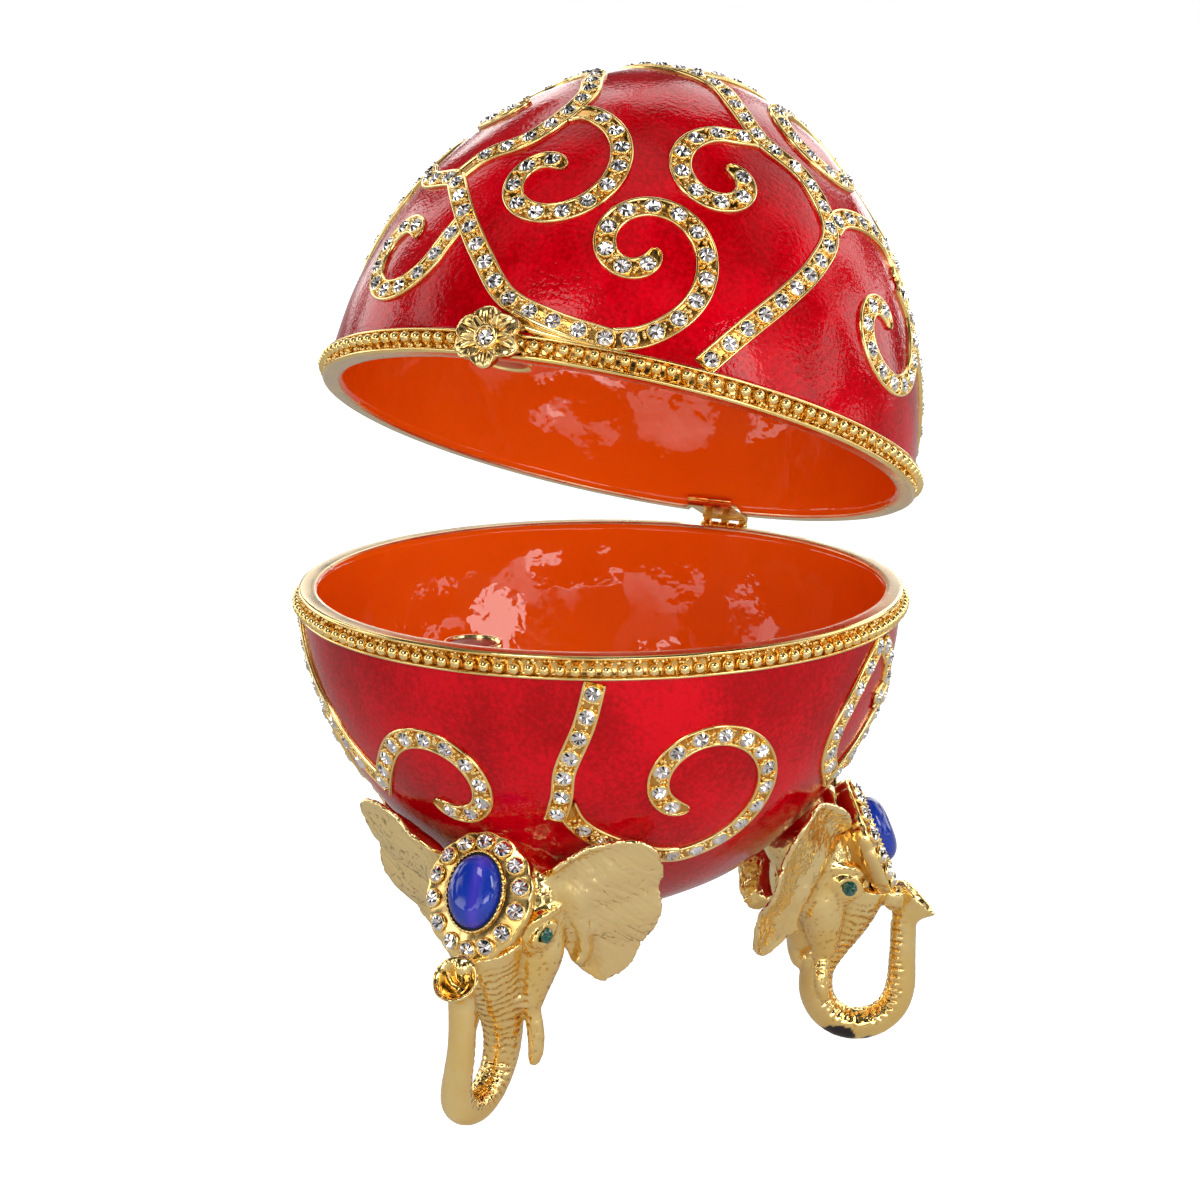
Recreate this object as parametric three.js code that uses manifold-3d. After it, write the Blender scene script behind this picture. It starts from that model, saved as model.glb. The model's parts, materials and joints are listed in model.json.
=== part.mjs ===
// Jewelled egg trinket box: an enamelled metal egg on three elephant heads, with a hinged lid.
// Millimetres, +Z up, front towards -Y. Heights of the egg are measured from the bowl's rim.
import * as THREE from 'three';
import { mergeVertices } from 'three/addons/utils/BufferGeometryUtils.js';
import Module from 'manifold-3d';

const wasm = await Module();
wasm.setup();

// The egg: each half is a turned shell of radius R(z) = radius * (1 - (z / height)^power)^fullness
const RIM_HEIGHT = 72.2;
const BOWL_SHELL = { radius: 44.6, height: 49.8, power: 2.05, fullness: 0.6, up: -1 };
const LID_SHELL = { radius: BOWL_SHELL.radius - 0.2, height: 57.0, power: 2.02, fullness: 0.54, up: 1 };
const WALL = 2.3;
const SHELL_SIDES = 24;
const OUTER_STEPS = 6;
const INNER_STEPS = 4;

// The gold band with its row of beads at each rim
const BAND_LIP = 0.1;
const BAND_PROUD = 0.5;
const BEADS_PROUD = 0.9;
const BAND_INNER = BOWL_SHELL.radius - WALL + BAND_LIP;
const BAND_OUTER = BOWL_SHELL.radius + BAND_PROUD;
const BEAD_RING_OUTER = BAND_OUTER + BEADS_PROUD;
const BEAD_RING_DEPTH = 2.1;
const BEAD_SIZE = 1.7;
const BAND_DEPTH = 3.6;
const RIM_GAP = 0.3;

// The lid stands part open, and a stop in the hinge ends its travel
const LID_OPEN = 25.4;

// The five-knuckle hinge at the back, soldered a little to the left of the middle
const HINGE_CLEARANCE = 1.5;
const HINGE_BACK = BEAD_RING_OUTER + HINGE_CLEARANCE;
const HINGE_DROP = 1.3;
const HINGE_OFFSET = -3.0;
const KNUCKLE_COUNT = 5;
const KNUCKLE_RADIUS = 0.75;
const KNUCKLE_BORE = 0.42;
const KNUCKLE_GAP = 0.3;
const HINGE_LENGTH = 7.6;
const PIN_RADIUS = 0.33;
const PIN_OVERHANG = 0.25;
const LEAF_THICKNESS = 0.45;
const LEAF_HEIGHT = 4.2;
const LEAF_CLEARANCE = 0.3;

// Raised scroll straps that hold the rhinestones
const STRAP_WIDTH = 3.3;
const STRAP_HEIGHT = 0.65;
const STRAP_SINK = 1.3;
const STRAP_BEVEL = 0.4;

// Disc magnets inside the front of both rims, each in a thin cup
const MAGNET_DIAMETER = 6.8;
const MAGNET_THICKNESS = 1.5;
const MAGNET_INSET = 0.8;
const CUP_WALL = 0.55;
const CUP_FLOOR = 0.6;
const SEAT_GAP = 0.3;

// Flower on the front of the lid's rim
const FLOWER_PETALS = 6;
const FLOWER_RADIUS = 5.4;
const FLOWER_THICKNESS = 1.6;
const FLOWER_HEIGHT = 3.4;
const FLOWER_SQUASH = 0.82;
const FLOWER_ROOT = 1.4;
const FLOWER_HEART = 1.5;

// Elephant heads: the trunks curl under the heads and are the feet
const FOOT_COUNT = 3;
const FOOT_RADIUS = 39.4;
const FOOT_TRIM = 0.25;
const NECK_GAP = 0.3;
const TRUNK_BEND = 6.5;
const TRUNK_HALF = 2.65;
const ORNAMENT_WIDTH = 16.4;
const ORNAMENT_LENGTH = 20.5;
const ORNAMENT_FACE = 0.4;
const ORNAMENT_BACK = 3.0;
const CABOCHON_WIDTH = 7.4;
const CABOCHON_LENGTH = 10.4;
const CABOCHON_DOME = 2.4;
const BEZEL_WALL = 0.8;
const BEZEL_HEIGHT = 1.0;
const EAR_THICKNESS = 1.3;
const TUSK_LENGTH = 5.0;
const TUSK_RADIUS = 1.2;

const ENAMEL_RED = new THREE.MeshStandardMaterial({ color: 0xb3060f, roughness: 0.12, metalness: 0.2 });
const GOLD = new THREE.MeshStandardMaterial({ color: 0xe2b85c, roughness: 0.25, metalness: 1.0 });
const CABOCHON_BLUE = new THREE.MeshStandardMaterial({ color: 0x14289a, roughness: 0.1, metalness: 0.0 });
const MAGNET_METAL = new THREE.MeshStandardMaterial({ color: 0xa39aa0, roughness: 0.35, metalness: 1.0 });

const rad = THREE.MathUtils.degToRad;
const vec = (x, y, z) => new THREE.Vector3(x, y, z);

// Six times the volume that a closed mesh holds, negative where its faces point inwards
function signedVolume(positions, index) {
  const corner = (i) => vec(...positions.slice(3 * i, 3 * i + 3));
  let sum = 0;
  for (let i = 0; i < index.length; i += 3) {
    sum += corner(index[i]).dot(corner(index[i + 1]).cross(corner(index[i + 2])));
  }
  return sum;
}

// Turns a closed geometry into a solid that can be joined and cut, with its faces pointing out
function solid(geometry) {
  const bare = geometry.clone();
  bare.deleteAttribute('normal');
  bare.deleteAttribute('uv');
  const merged = mergeVertices(bare, 1e-5);
  const vertProperties = Float32Array.from(merged.attributes.position.array);
  const triVerts = Uint32Array.from(merged.index.array);
  if (signedVolume(vertProperties, triVerts) < 0) triVerts.reverse();
  return new wasm.Manifold(new wasm.Mesh({ numProp: 3, vertProperties, triVerts }));
}

function geometryOf(manifold) {
  const mesh = manifold.getMesh();
  const geometry = new THREE.BufferGeometry();
  geometry.setAttribute('position', new THREE.BufferAttribute(mesh.vertProperties, 3));
  geometry.setIndex(new THREE.BufferAttribute(mesh.triVerts, 1));
  geometry.computeVertexNormals();
  return geometry;
}

// Joins rings of points into one closed body, with flat ends
function loft(rings) {
  const count = rings[0].length;
  const positions = rings.flat().flatMap((p) => [p.x, p.y, p.z]);
  const faces = [];
  for (let i = 0; i + 1 < rings.length; i += 1) {
    for (let j = 0; j < count; j += 1) {
      const a = i * count + j;
      const b = i * count + ((j + 1) % count);
      faces.push(a, b, b + count, a, b + count, a + count);
    }
  }
  const last = (rings.length - 1) * count;
  for (let j = 1; j + 1 < count; j += 1) {
    faces.push(0, j + 1, j);
    faces.push(last, last + j, last + j + 1);
  }
  const geometry = new THREE.BufferGeometry();
  geometry.setAttribute('position', new THREE.Float32BufferAttribute(positions, 3));
  geometry.setIndex(faces);
  return geometry;
}

// Turns a profile of [radius, height] points about the Z axis
function turned(profile, sides = SHELL_SIDES) {
  const points = profile.map(([r, z]) => new THREE.Vector2(r, z));
  return new THREE.LatheGeometry(points, sides).rotateX(Math.PI / 2);
}

// Egg surface: radius at a distance z from the rim
function shellRadius(shell, z) {
  const share = Math.min(1, Math.max(0, z) / shell.height);
  return shell.radius * (1 - share ** shell.power) ** shell.fullness;
}

// The same egg shape, larger or smaller all round by the same distance
function offsetShell(shell, grow) {
  return { ...shell, radius: shell.radius + grow, height: shell.height + grow };
}

// Profile points from a distance below the rim to the pole
function shellPoints(shell, steps, from) {
  const points = [];
  const start = Math.asin(Math.min(1, from / shell.height));
  for (let i = 0; i <= steps; i += 1) {
    const z = shell.height * Math.sin(start + ((Math.PI / 2 - start) * i) / steps);
    points.push([i === steps ? 0 : shellRadius(shell, z), shell.up * z]);
  }
  return points;
}

// Direction from the egg's centre for a longitude (0 at the front, positive to the right) and latitude
function direction(longitude, latitude) {
  const lon = rad(longitude);
  const lat = rad(latitude);
  return vec(Math.cos(lat) * Math.sin(lon), -Math.cos(lat) * Math.cos(lon), Math.sin(lat));
}

// Point of the shell's surface along a direction from the centre of its rim
function onShell(shell, dir) {
  const unit = dir.clone().normalize();
  let low = 0;
  let high = shell.height + shell.radius;
  for (let i = 0; i < 40; i += 1) {
    const middle = (low + high) / 2;
    const p = unit.clone().multiplyScalar(middle);
    const z = shell.up * p.z;
    const inside = z < shell.height && Math.hypot(p.x, p.y) < shellRadius(shell, z);
    if (inside) low = middle;
    else high = middle;
  }
  return unit.multiplyScalar(low);
}

function shellNormal(shell, point) {
  const step = 0.05;
  const r = Math.hypot(point.x, point.y);
  const z = shell.up * point.z;
  const slope = (shellRadius(shell, z + step) - shellRadius(shell, z - step)) / (2 * step);
  const flat = r < 1e-6 ? vec(0, 0, 0) : vec(point.x / r, point.y / r, 0);
  return flat.add(vec(0, 0, -slope * shell.up)).normalize();
}

// A scroll that winds in to its tip: a logarithmic spiral about a centre on the shell
function volute(shell, { centre, radii, turn, steps }) {
  const out = direction(...centre);
  const reach = onShell(shell, out).length();
  const right = vec(Math.cos(rad(centre[0])), Math.sin(rad(centre[0])), 0);
  const up = right.clone().cross(out).negate();
  if (up.z < 0) up.negate();
  const dirs = [];
  for (let i = 0; i <= steps; i += 1) {
    const share = i / steps;
    const angle = rad(turn[0] + (turn[1] - turn[0]) * share);
    const r = radii[0] * (radii[1] / radii[0]) ** share;
    dirs.push(out.clone().multiplyScalar(reach)
      .addScaledVector(right, r * Math.cos(angle))
      .addScaledVector(up, r * Math.sin(angle)));
  }
  return dirs;
}

function stem(points) {
  return points.map(([lon, lat]) => direction(lon, lat).multiplyScalar(BAND_OUTER));
}

// Smooths a row of directions into points of the shell
function strapLine(shell, dirs, steps, turn) {
  const curve = new THREE.CatmullRomCurve3(dirs.map((d) => onShell(shell, d)), false, 'centripetal');
  const spin = rad(turn);
  return curve.getSpacedPoints(steps).map((p) => onShell(shell, p).applyAxisAngle(vec(0, 0, 1), spin));
}

// A raised strap with sloping edges that stands on the shell along a line of points
function strap(shell, line) {
  const half = STRAP_WIDTH / 2;
  const rings = line.map((p, i) => {
    const ahead = line[Math.min(i + 1, line.length - 1)];
    const behind = line[Math.max(i - 1, 0)];
    const along = ahead.clone().sub(behind).normalize();
    const normal = shellNormal(shell, p);
    const side = along.clone().cross(normal).normalize();
    const at = (s, n) => p.clone().addScaledVector(side, s).addScaledVector(normal, n);
    return [at(-half, -STRAP_SINK), at(half, -STRAP_SINK),
      at(half - STRAP_BEVEL, STRAP_HEIGHT), at(STRAP_BEVEL - half, STRAP_HEIGHT)];
  });
  return solid(loft(rings));
}

// Scrolls of the lid, one third of the way round; each line starts at the rim or on another scroll
const LID_GROUP_TURNS = [0, 120, -120];
const LID_SCROLLS = [
  { stem: [[24, 5], [12, 8], [2, 12], [-6, 19], [-14, 27], [-25, 36.5]], steps: 4 },
  { stem: [[-25, 36.5], [-20, 41.5], [-11, 45], [-6, 51], [-5, 59]],
    volute: { centre: [-38, 60], radii: [12, 4.5], turn: [35, 345], steps: 8 }, steps: 5 },
  { stem: [[22, 5.5], [28, 7.5]],
    volute: { centre: [24.2, 24.5], radii: [12.8, 2.2], turn: [-58, 373], steps: 12 }, steps: 7 },
  { stem: [[-6, 51.5]],
    volute: { centre: [0.5, 36.7], radii: [14.1, 2.45], turn: [91, -322], steps: 12 }, steps: 6 },
  { stem: [[40, 5], [47, 14], [55, 23], [62, 31], [67, 39], [63, 49], [51, 55], [45, 63], [40, 70],
    [18, 76], [-25, 79]], steps: 8 },
  { stem: [[51, 55]],
    volute: { centre: [39.7, 42.8], radii: [9.7, 2.15], turn: [81, 450], steps: 10 }, steps: 5 },
];
// The large side scroll of each third; the one to the left of the front springs from the stem instead
const LID_SIDE_SCROLLS = [
  { turn: 0, stem: [[67, 39], [73, 43.5]],
    volute: { centre: [82.6, 25.1], radii: [17.6, 1.8], turn: [67, -353], steps: 12 }, steps: 7 },
  { turn: 120, stem: [[67, 39], [73, 43.5]],
    volute: { centre: [82.6, 25.1], radii: [17.6, 1.8], turn: [67, -353], steps: 12 }, steps: 7 },
  { turn: 0, stem: [[-14, 27.5]],
    volute: { centre: [-30.2, 21.8], radii: [9.9, 3.0], turn: [1, -338], steps: 10 }, steps: 6 },
  { turn: 0, stem: [[-25, 36.5], [-37, 37.5], [-47, 41], [-53, 39]], steps: 2 },
];

// Scrolls of the bowl, one third of the way round
const BOWL_GROUP_TURNS = [0, 120, -120];
const BOWL_SCROLLS = [
  { stem: [[27, -5], [25, -13], [21, -23], [20, -29], [18, -35]], steps: 3 },
  { stem: [[20, -29], [23, -36], [32, -42]],
    volute: { centre: [48, -27], radii: [15.5, 4.5], turn: [-90, 262], steps: 11 }, steps: 7 },
  { stem: [[-30, -35]],
    volute: { centre: [-6.2, -30], radii: [10.45, 3.9], turn: [154, -138], steps: 9 }, steps: 6 },
];
const BOWL_SIDE_STEMS = [
  { turn: 0, stem: [[-60, -5], [-52, -14], [-43, -21], [-36, -28], [-28, -34]], steps: 3 },
  { turn: 0, stem: [[94, -5], [87, -12], [82, -21], [83, -27], [91, -34]], steps: 3 },
  { turn: 0, stem: [[95, -6], [101, -11], [102, -16], [97, -18.5]], steps: 2 },
  { turn: -120, stem: [[-60, -5], [-52, -14], [-43, -21], [-36, -28], [-28, -34]], steps: 3 },
];

function scrollStraps(shell, scrolls, turns) {
  const straps = [];
  for (const scroll of scrolls) {
    const dirs = stem(scroll.stem);
    if (scroll.volute) dirs.push(...volute(shell, scroll.volute));
    for (const turn of turns ?? [scroll.turn]) {
      straps.push(strap(shell, strapLine(shell, dirs, scroll.steps, turn)));
    }
  }
  return straps;
}

function lidStraps() {
  return [...scrollStraps(LID_SHELL, LID_SCROLLS, LID_GROUP_TURNS), ...scrollStraps(LID_SHELL, LID_SIDE_SCROLLS)];
}

function bowlStraps() {
  return [...scrollStraps(BOWL_SHELL, BOWL_SCROLLS, BOWL_GROUP_TURNS), ...scrollStraps(BOWL_SHELL, BOWL_SIDE_STEMS)];
}

// One half of the egg: inner wall, flat rim, gold band with its half-round bead row, enamelled outside
function shellBody(shell) {
  const side = shell.up;
  const inner = shellPoints(offsetShell(shell, -WALL), INNER_STEPS, BAND_DEPTH).reverse();
  const outer = shellPoints(shell, OUTER_STEPS, BAND_DEPTH);
  const bead = BEAD_SIZE / 2;
  const band = [[BAND_INNER, 0], [BAND_OUTER, 0], [BAND_OUTER, side * (BEAD_RING_DEPTH - bead)],
    [BEAD_RING_OUTER, side * (BEAD_RING_DEPTH - bead / 2)], [BEAD_RING_OUTER, side * (BEAD_RING_DEPTH + bead / 2)],
    [BAND_OUTER, side * (BEAD_RING_DEPTH + bead)]];
  const profile = [...inner, ...band, ...outer];
  if (side > 0) profile.reverse();
  return solid(turned(profile.reverse()));
}

// A slot for a hinge leaf: through the rim from the knuckles inwards
function leafSlot(zLow, zHigh) {
  const slot = new THREE.BoxGeometry(HINGE_LENGTH + 2 * LEAF_CLEARANCE, HINGE_BACK - BAND_INNER + 3, zHigh - zLow);
  slot.translate(HINGE_OFFSET, (HINGE_BACK + BAND_INNER + 3) / 2 - 1.2, (zLow + zHigh) / 2);
  return solid(slot);
}

const magnetRadius = MAGNET_DIAMETER / 2;
const cupRadius = magnetRadius + SEAT_GAP + CUP_WALL;
const magnetFront = BAND_INNER + 0.2 - cupRadius;

// A cup for a disc magnet, opening towards the other half, whose back grows out of the wall
function magnetCup(side) {
  const depth = MAGNET_THICKNESS + CUP_FLOOR + SEAT_GAP;
  const cup = new THREE.CylinderGeometry(cupRadius, cupRadius, depth, 16).rotateX(Math.PI / 2);
  cup.translate(0, -magnetFront, side * (MAGNET_INSET + depth / 2));
  return solid(cup);
}

function magnetPocket(side) {
  const radius = magnetRadius + SEAT_GAP;
  const depth = MAGNET_THICKNESS + SEAT_GAP + MAGNET_INSET;
  const pocket = new THREE.CylinderGeometry(radius, radius, depth, 16).rotateX(Math.PI / 2);
  pocket.translate(0, -magnetFront, side * depth / 2);
  return solid(pocket);
}

function magnetDisc(side) {
  const disc = new THREE.CylinderGeometry(magnetRadius, magnetRadius, MAGNET_THICKNESS, 16).rotateX(Math.PI / 2);
  disc.translate(0, -magnetFront, side * (MAGNET_INSET + MAGNET_THICKNESS / 2));
  return disc;
}

// Six-petalled flower cast on the front of the lid's rim
// The lowest petal hangs in front of the bowl's beads and stays clear of them when the lid shuts
function bowlBeadRoom() {
  const reach = BEAD_RING_OUTER + SEAT_GAP;
  const disc = new THREE.CylinderGeometry(reach, reach, BEAD_RING_DEPTH, 4 * SHELL_SIDES).rotateX(Math.PI / 2);
  return solid(disc.translate(0, 0, RIM_GAP - BEAD_RING_DEPTH / 2));
}

function flower() {
  const outline = new THREE.Shape();
  const steps = FLOWER_PETALS * 4;
  for (let i = 0; i < steps; i += 1) {
    const angle = (i / steps) * 2 * Math.PI;
    const r = FLOWER_RADIUS * (0.78 + 0.22 * Math.abs(Math.cos((FLOWER_PETALS * angle) / 2)));
    const [x, y] = [r * Math.cos(angle), FLOWER_SQUASH * r * Math.sin(angle)];
    if (i === 0) outline.moveTo(x, y);
    else outline.lineTo(x, y);
  }
  const plate = new THREE.ExtrudeGeometry(outline, { depth: FLOWER_THICKNESS + FLOWER_ROOT, bevelEnabled: false });
  plate.rotateX(Math.PI / 2).translate(0, FLOWER_ROOT - BEAD_RING_OUTER, FLOWER_HEIGHT);
  const heart = new THREE.CylinderGeometry(FLOWER_HEART, FLOWER_HEART + 0.4, FLOWER_THICKNESS, 10);
  heart.rotateX(Math.PI).translate(0, -BEAD_RING_OUTER - FLOWER_THICKNESS, FLOWER_HEIGHT);
  return solid(plate).subtract(bowlBeadRoom()).add(solid(heart));
}

// Bowl: the shell, its scrolls, the magnet cup, and the slot that the hinge leaf lies in
function makeBowl() {
  let body = shellBody(BOWL_SHELL).add(magnetCup(-1).intersect(solid(outerBlank(BOWL_SHELL))));
  for (const piece of bowlStraps()) body = body.add(piece);
  body = body.subtract(magnetPocket(-1));
  return body.subtract(leafSlot(-HINGE_DROP - LEAF_THICKNESS / 2 - LEAF_CLEARANCE, 1));
}

// Lid, in its own closed position
function makeLid() {
  let body = shellBody(LID_SHELL).add(magnetCup(1).intersect(solid(outerBlank(LID_SHELL))));
  for (const piece of lidStraps()) body = body.add(piece);
  body = body.subtract(magnetPocket(1)).add(flower());
  return body.subtract(leafSlot(-1, 2 * LEAF_THICKNESS + 2 * LEAF_CLEARANCE));
}

// The whole outside of a half as a solid block, to trim what must stay within it
function outerBlank(shell, grow = 0) {
  const outer = shellPoints(offsetShell(shell, grow), OUTER_STEPS, BAND_DEPTH);
  const profile = [[0, 0], [BAND_OUTER + grow, 0], [BAND_OUTER + grow, outer[0][1]], ...outer];
  return turned(profile);
}

// Hinge knuckle number i counted from the left
function knuckle(i) {
  const pitch = (HINGE_LENGTH + KNUCKLE_GAP) / KNUCKLE_COUNT;
  const width = pitch - KNUCKLE_GAP;
  const sleeve = turned([[KNUCKLE_BORE, -width / 2], [KNUCKLE_RADIUS, -width / 2], [KNUCKLE_RADIUS, width / 2],
    [KNUCKLE_BORE, width / 2], [KNUCKLE_BORE, -width / 2]], 8);
  sleeve.rotateY(Math.PI / 2);
  sleeve.translate(HINGE_OFFSET - HINGE_LENGTH / 2 + width / 2 + i * pitch, HINGE_BACK, -HINGE_DROP);
  return { sleeve: solid(sleeve), width, x: HINGE_OFFSET - HINGE_LENGTH / 2 + width / 2 + i * pitch };
}

function plate(x, width, y0, y1, z0, z1) {
  const box = new THREE.BoxGeometry(width, y1 - y0, z1 - z0);
  return solid(box.translate(x, (y0 + y1) / 2, (z0 + z1) / 2));
}

// The flaps stand clear of the curved wall at their outer corners
const leafCorner = Math.abs(HINGE_OFFSET) + HINGE_LENGTH / 2;
const flapReach = HINGE_DROP + LEAF_THICKNESS + LEAF_HEIGHT;
const flapWall = shellRadius(offsetShell(BOWL_SHELL, -WALL), flapReach) * Math.cos(Math.PI / SHELL_SIDES);
const leafInside = Math.sqrt(flapWall ** 2 - leafCorner ** 2) - LEAF_CLEARANCE;

// Bowl leaf: a tongue from each even knuckle through the rim slot, joined to a flap inside the wall
function makeBowlLeaf() {
  const z0 = -HINGE_DROP - LEAF_THICKNESS / 2;
  let leaf = plate(HINGE_OFFSET, HINGE_LENGTH, leafInside - LEAF_THICKNESS, HINGE_BACK - 1.15, z0, z0 + LEAF_THICKNESS);
  leaf = leaf.add(plate(HINGE_OFFSET, HINGE_LENGTH, leafInside - LEAF_THICKNESS, leafInside, z0 - LEAF_HEIGHT, z0 + 0.1));
  for (let i = 1; i < KNUCKLE_COUNT; i += 2) {
    const { sleeve, width, x } = knuckle(i);
    const tongue = plate(x, width, HINGE_BACK - 1.3, HINGE_BACK - KNUCKLE_BORE - 0.1, z0, z0 + LEAF_THICKNESS);
    leaf = leaf.add(sleeve).add(tongue);
  }
  return leaf;
}

// Lid leaf, closed: rises behind the knuckles, runs in through the lid's slot and stands up inside
function makeLidLeaf() {
  const z0 = RIM_GAP + LEAF_CLEARANCE / 2;
  const z1 = z0 + LEAF_THICKNESS;
  let leaf = plate(HINGE_OFFSET, HINGE_LENGTH, leafInside - LEAF_THICKNESS, HINGE_BACK + LEAF_THICKNESS / 2, z0, z1);
  leaf = leaf.add(plate(HINGE_OFFSET, HINGE_LENGTH, leafInside - LEAF_THICKNESS, leafInside, z0, z1 + LEAF_HEIGHT));
  for (let i = 0; i < KNUCKLE_COUNT; i += 2) {
    const { sleeve, width, x } = knuckle(i);
    const riser = plate(x, width, HINGE_BACK - LEAF_THICKNESS / 2, HINGE_BACK + LEAF_THICKNESS / 2,
      KNUCKLE_BORE + 0.1 - HINGE_DROP, z0 + 0.1);
    leaf = leaf.add(sleeve).add(riser);
  }
  return leaf;
}

function makeHingePin() {
  const pin = new THREE.CylinderGeometry(PIN_RADIUS, PIN_RADIUS, HINGE_LENGTH + 2 * PIN_OVERHANG, 8);
  return pin.rotateZ(Math.PI / 2).translate(HINGE_OFFSET, HINGE_BACK, -HINGE_DROP);
}

// Elephant head, facing +X: x is the distance from the egg's axis, z the height from the rim
const trunkCentre = { x: FOOT_RADIUS, z: -RIM_HEIGHT + TRUNK_HALF + TRUNK_BEND - FOOT_TRIM };
const HEAD_STATIONS = [
  { at: [25, -34], tall: 9.5, wide: 9.5 },
  { at: [30, -39.5], tall: 11.5, wide: 10.5 },
  { at: [34, -44.5], tall: 10.6, wide: 10 },
  { at: [34.6, -50], tall: 7.4, wide: 8.4 },
  { at: [33.6, -55], tall: 5, wide: 5.9 },
  { at: [33.0, -59.5], tall: 3.4, wide: 4.0 },
];

// Centreline and half sizes of the head and trunk, from the neck round the curl to the flared tip
function trunkStations() {
  const stations = HEAD_STATIONS.map(({ at, tall, wide }) => ({ x: at[0], z: at[1], tall, wide }));
  for (let i = 0; i <= 6; i += 1) {
    const angle = Math.PI + (i / 6) * Math.PI;
    stations.push({ x: trunkCentre.x + TRUNK_BEND * Math.cos(angle), z: trunkCentre.z + TRUNK_BEND * Math.sin(angle),
      tall: TRUNK_HALF - 0.06 * i, wide: TRUNK_HALF - 0.05 * i });
  }
  stations.push({ x: 46.1, z: -57, tall: 2.05, wide: 2.2 });
  stations.push({ x: 46.4, z: -53, tall: 2.1, wide: 2.3 });
  stations.push({ x: 47.9, z: -50.6, tall: 2.5, wide: 2.7 });
  stations.push({ x: 49.4, z: -49.7, tall: 3.2, wide: 3.4 });
  return stations;
}

function headAndTrunk() {
  const stations = trunkStations();
  const sides = 8;
  const rings = stations.map((s, i) => {
    const a = stations[Math.max(0, i - 1)];
    const b = stations[Math.min(stations.length - 1, i + 1)];
    const along = vec(b.x - a.x, 0, b.z - a.z).normalize();
    const across = vec(-along.z, 0, along.x);
    const ring = [];
    for (let j = 0; j < sides; j += 1) {
      const angle = (j / sides) * 2 * Math.PI;
      ring.push(vec(s.x, 0, s.z).addScaledVector(across, s.tall * Math.cos(angle))
        .add(vec(0, s.wide * Math.sin(angle), 0)));
    }
    return ring;
  });
  return solid(loft(rings));
}

// The oval forehead ornament leans back along the forehead
const ornamentCentre = vec(41.9, 0, -38.3);
const ornamentLean = 62;

function ornamentPlate(width, length, low, high, sides = 14) {
  const disc = new THREE.CylinderGeometry(1, 1, high - low, sides).rotateX(Math.PI / 2);
  disc.scale(length / 2, width / 2, 1).translate(0, 0, (low + high) / 2);
  disc.rotateY(rad(ornamentLean)).translate(ornamentCentre.x, ornamentCentre.y, ornamentCentre.z);
  return disc;
}

function cabochonDome() {
  const rows = 3;
  const profile = [];
  for (let i = 0; i <= rows; i += 1) {
    const angle = (i / rows) * (Math.PI / 2);
    profile.push([Math.cos(angle) * (i === rows ? 0 : 1), CABOCHON_DOME * Math.sin(angle)]);
  }
  const dome = turned([[0, -BEZEL_HEIGHT + 0.2], [1, -BEZEL_HEIGHT + 0.2], ...profile], 12);
  dome.scale(CABOCHON_LENGTH / 2, CABOCHON_WIDTH / 2, 1).translate(0, 0, BEZEL_HEIGHT + 0.3);
  return dome.rotateY(rad(ornamentLean)).translate(ornamentCentre.x, ornamentCentre.y, ornamentCentre.z);
}

// Ear: a thin fan that springs from the side of the head and sweeps out and back
const EAR_OUTLINE = [[36, 8.5, -35], [31.5, 17.5, -30.6], [28.5, 23.5, -30.8], [26.2, 25, -36], [23.8, 24, -41.5],
  [22.6, 21.5, -46.5], [23.8, 17.5, -51], [26.2, 13, -52.6], [29.5, 9.5, -50.5], [33.5, 7.5, -46]];

function ear(side) {
  const outline = EAR_OUTLINE.map(([x, y, z]) => vec(x, side * y, z));
  const middle = outline.reduce((sum, p) => sum.add(p), vec(0, 0, 0)).divideScalar(outline.length);
  const facing = vec(0.62, side * 0.72, 0.12).normalize();
  const front = outline.map((p) => p.clone().addScaledVector(facing, EAR_THICKNESS / 2));
  const back = outline.map((p) => p.clone().addScaledVector(facing, -EAR_THICKNESS / 2));
  const count = outline.length;
  const points = [...front, ...back, middle.clone().addScaledVector(facing, EAR_THICKNESS),
    middle.clone().addScaledVector(facing, -EAR_THICKNESS / 4)];
  const faces = [];
  for (let i = 0; i < count; i += 1) {
    const j = (i + 1) % count;
    faces.push(i, j, 2 * count);
    faces.push(count + j, count + i, 2 * count + 1);
    faces.push(j, i, count + i, j, count + i, count + j);
  }
  if (side < 0) faces.reverse();
  const geometry = new THREE.BufferGeometry();
  geometry.setAttribute('position', new THREE.Float32BufferAttribute(points.flatMap((p) => [p.x, p.y, p.z]), 3));
  geometry.setIndex(faces);
  return solid(geometry);
}

function ball(x, y, z, rx, ry, rz) {
  return solid(new THREE.SphereGeometry(1, 7, 4).scale(rx, ry, rz).translate(x, y, z));
}

// Tusk: a short tapered peg that points down and a little outwards from the lip
function tusk(side) {
  const root = vec(36.4, side * 5.6, -53.4);
  const along = vec(0.22, side * 0.2, -1).normalize();
  const cone = new THREE.CylinderGeometry(TUSK_RADIUS * 0.5, TUSK_RADIUS, TUSK_LENGTH + 2, 7);
  cone.applyQuaternion(new THREE.Quaternion().setFromUnitVectors(vec(0, 1, 0), along));
  const middle = root.addScaledVector(along, TUSK_LENGTH / 2);
  return solid(cone.translate(middle.x, middle.y, middle.z));
}

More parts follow.
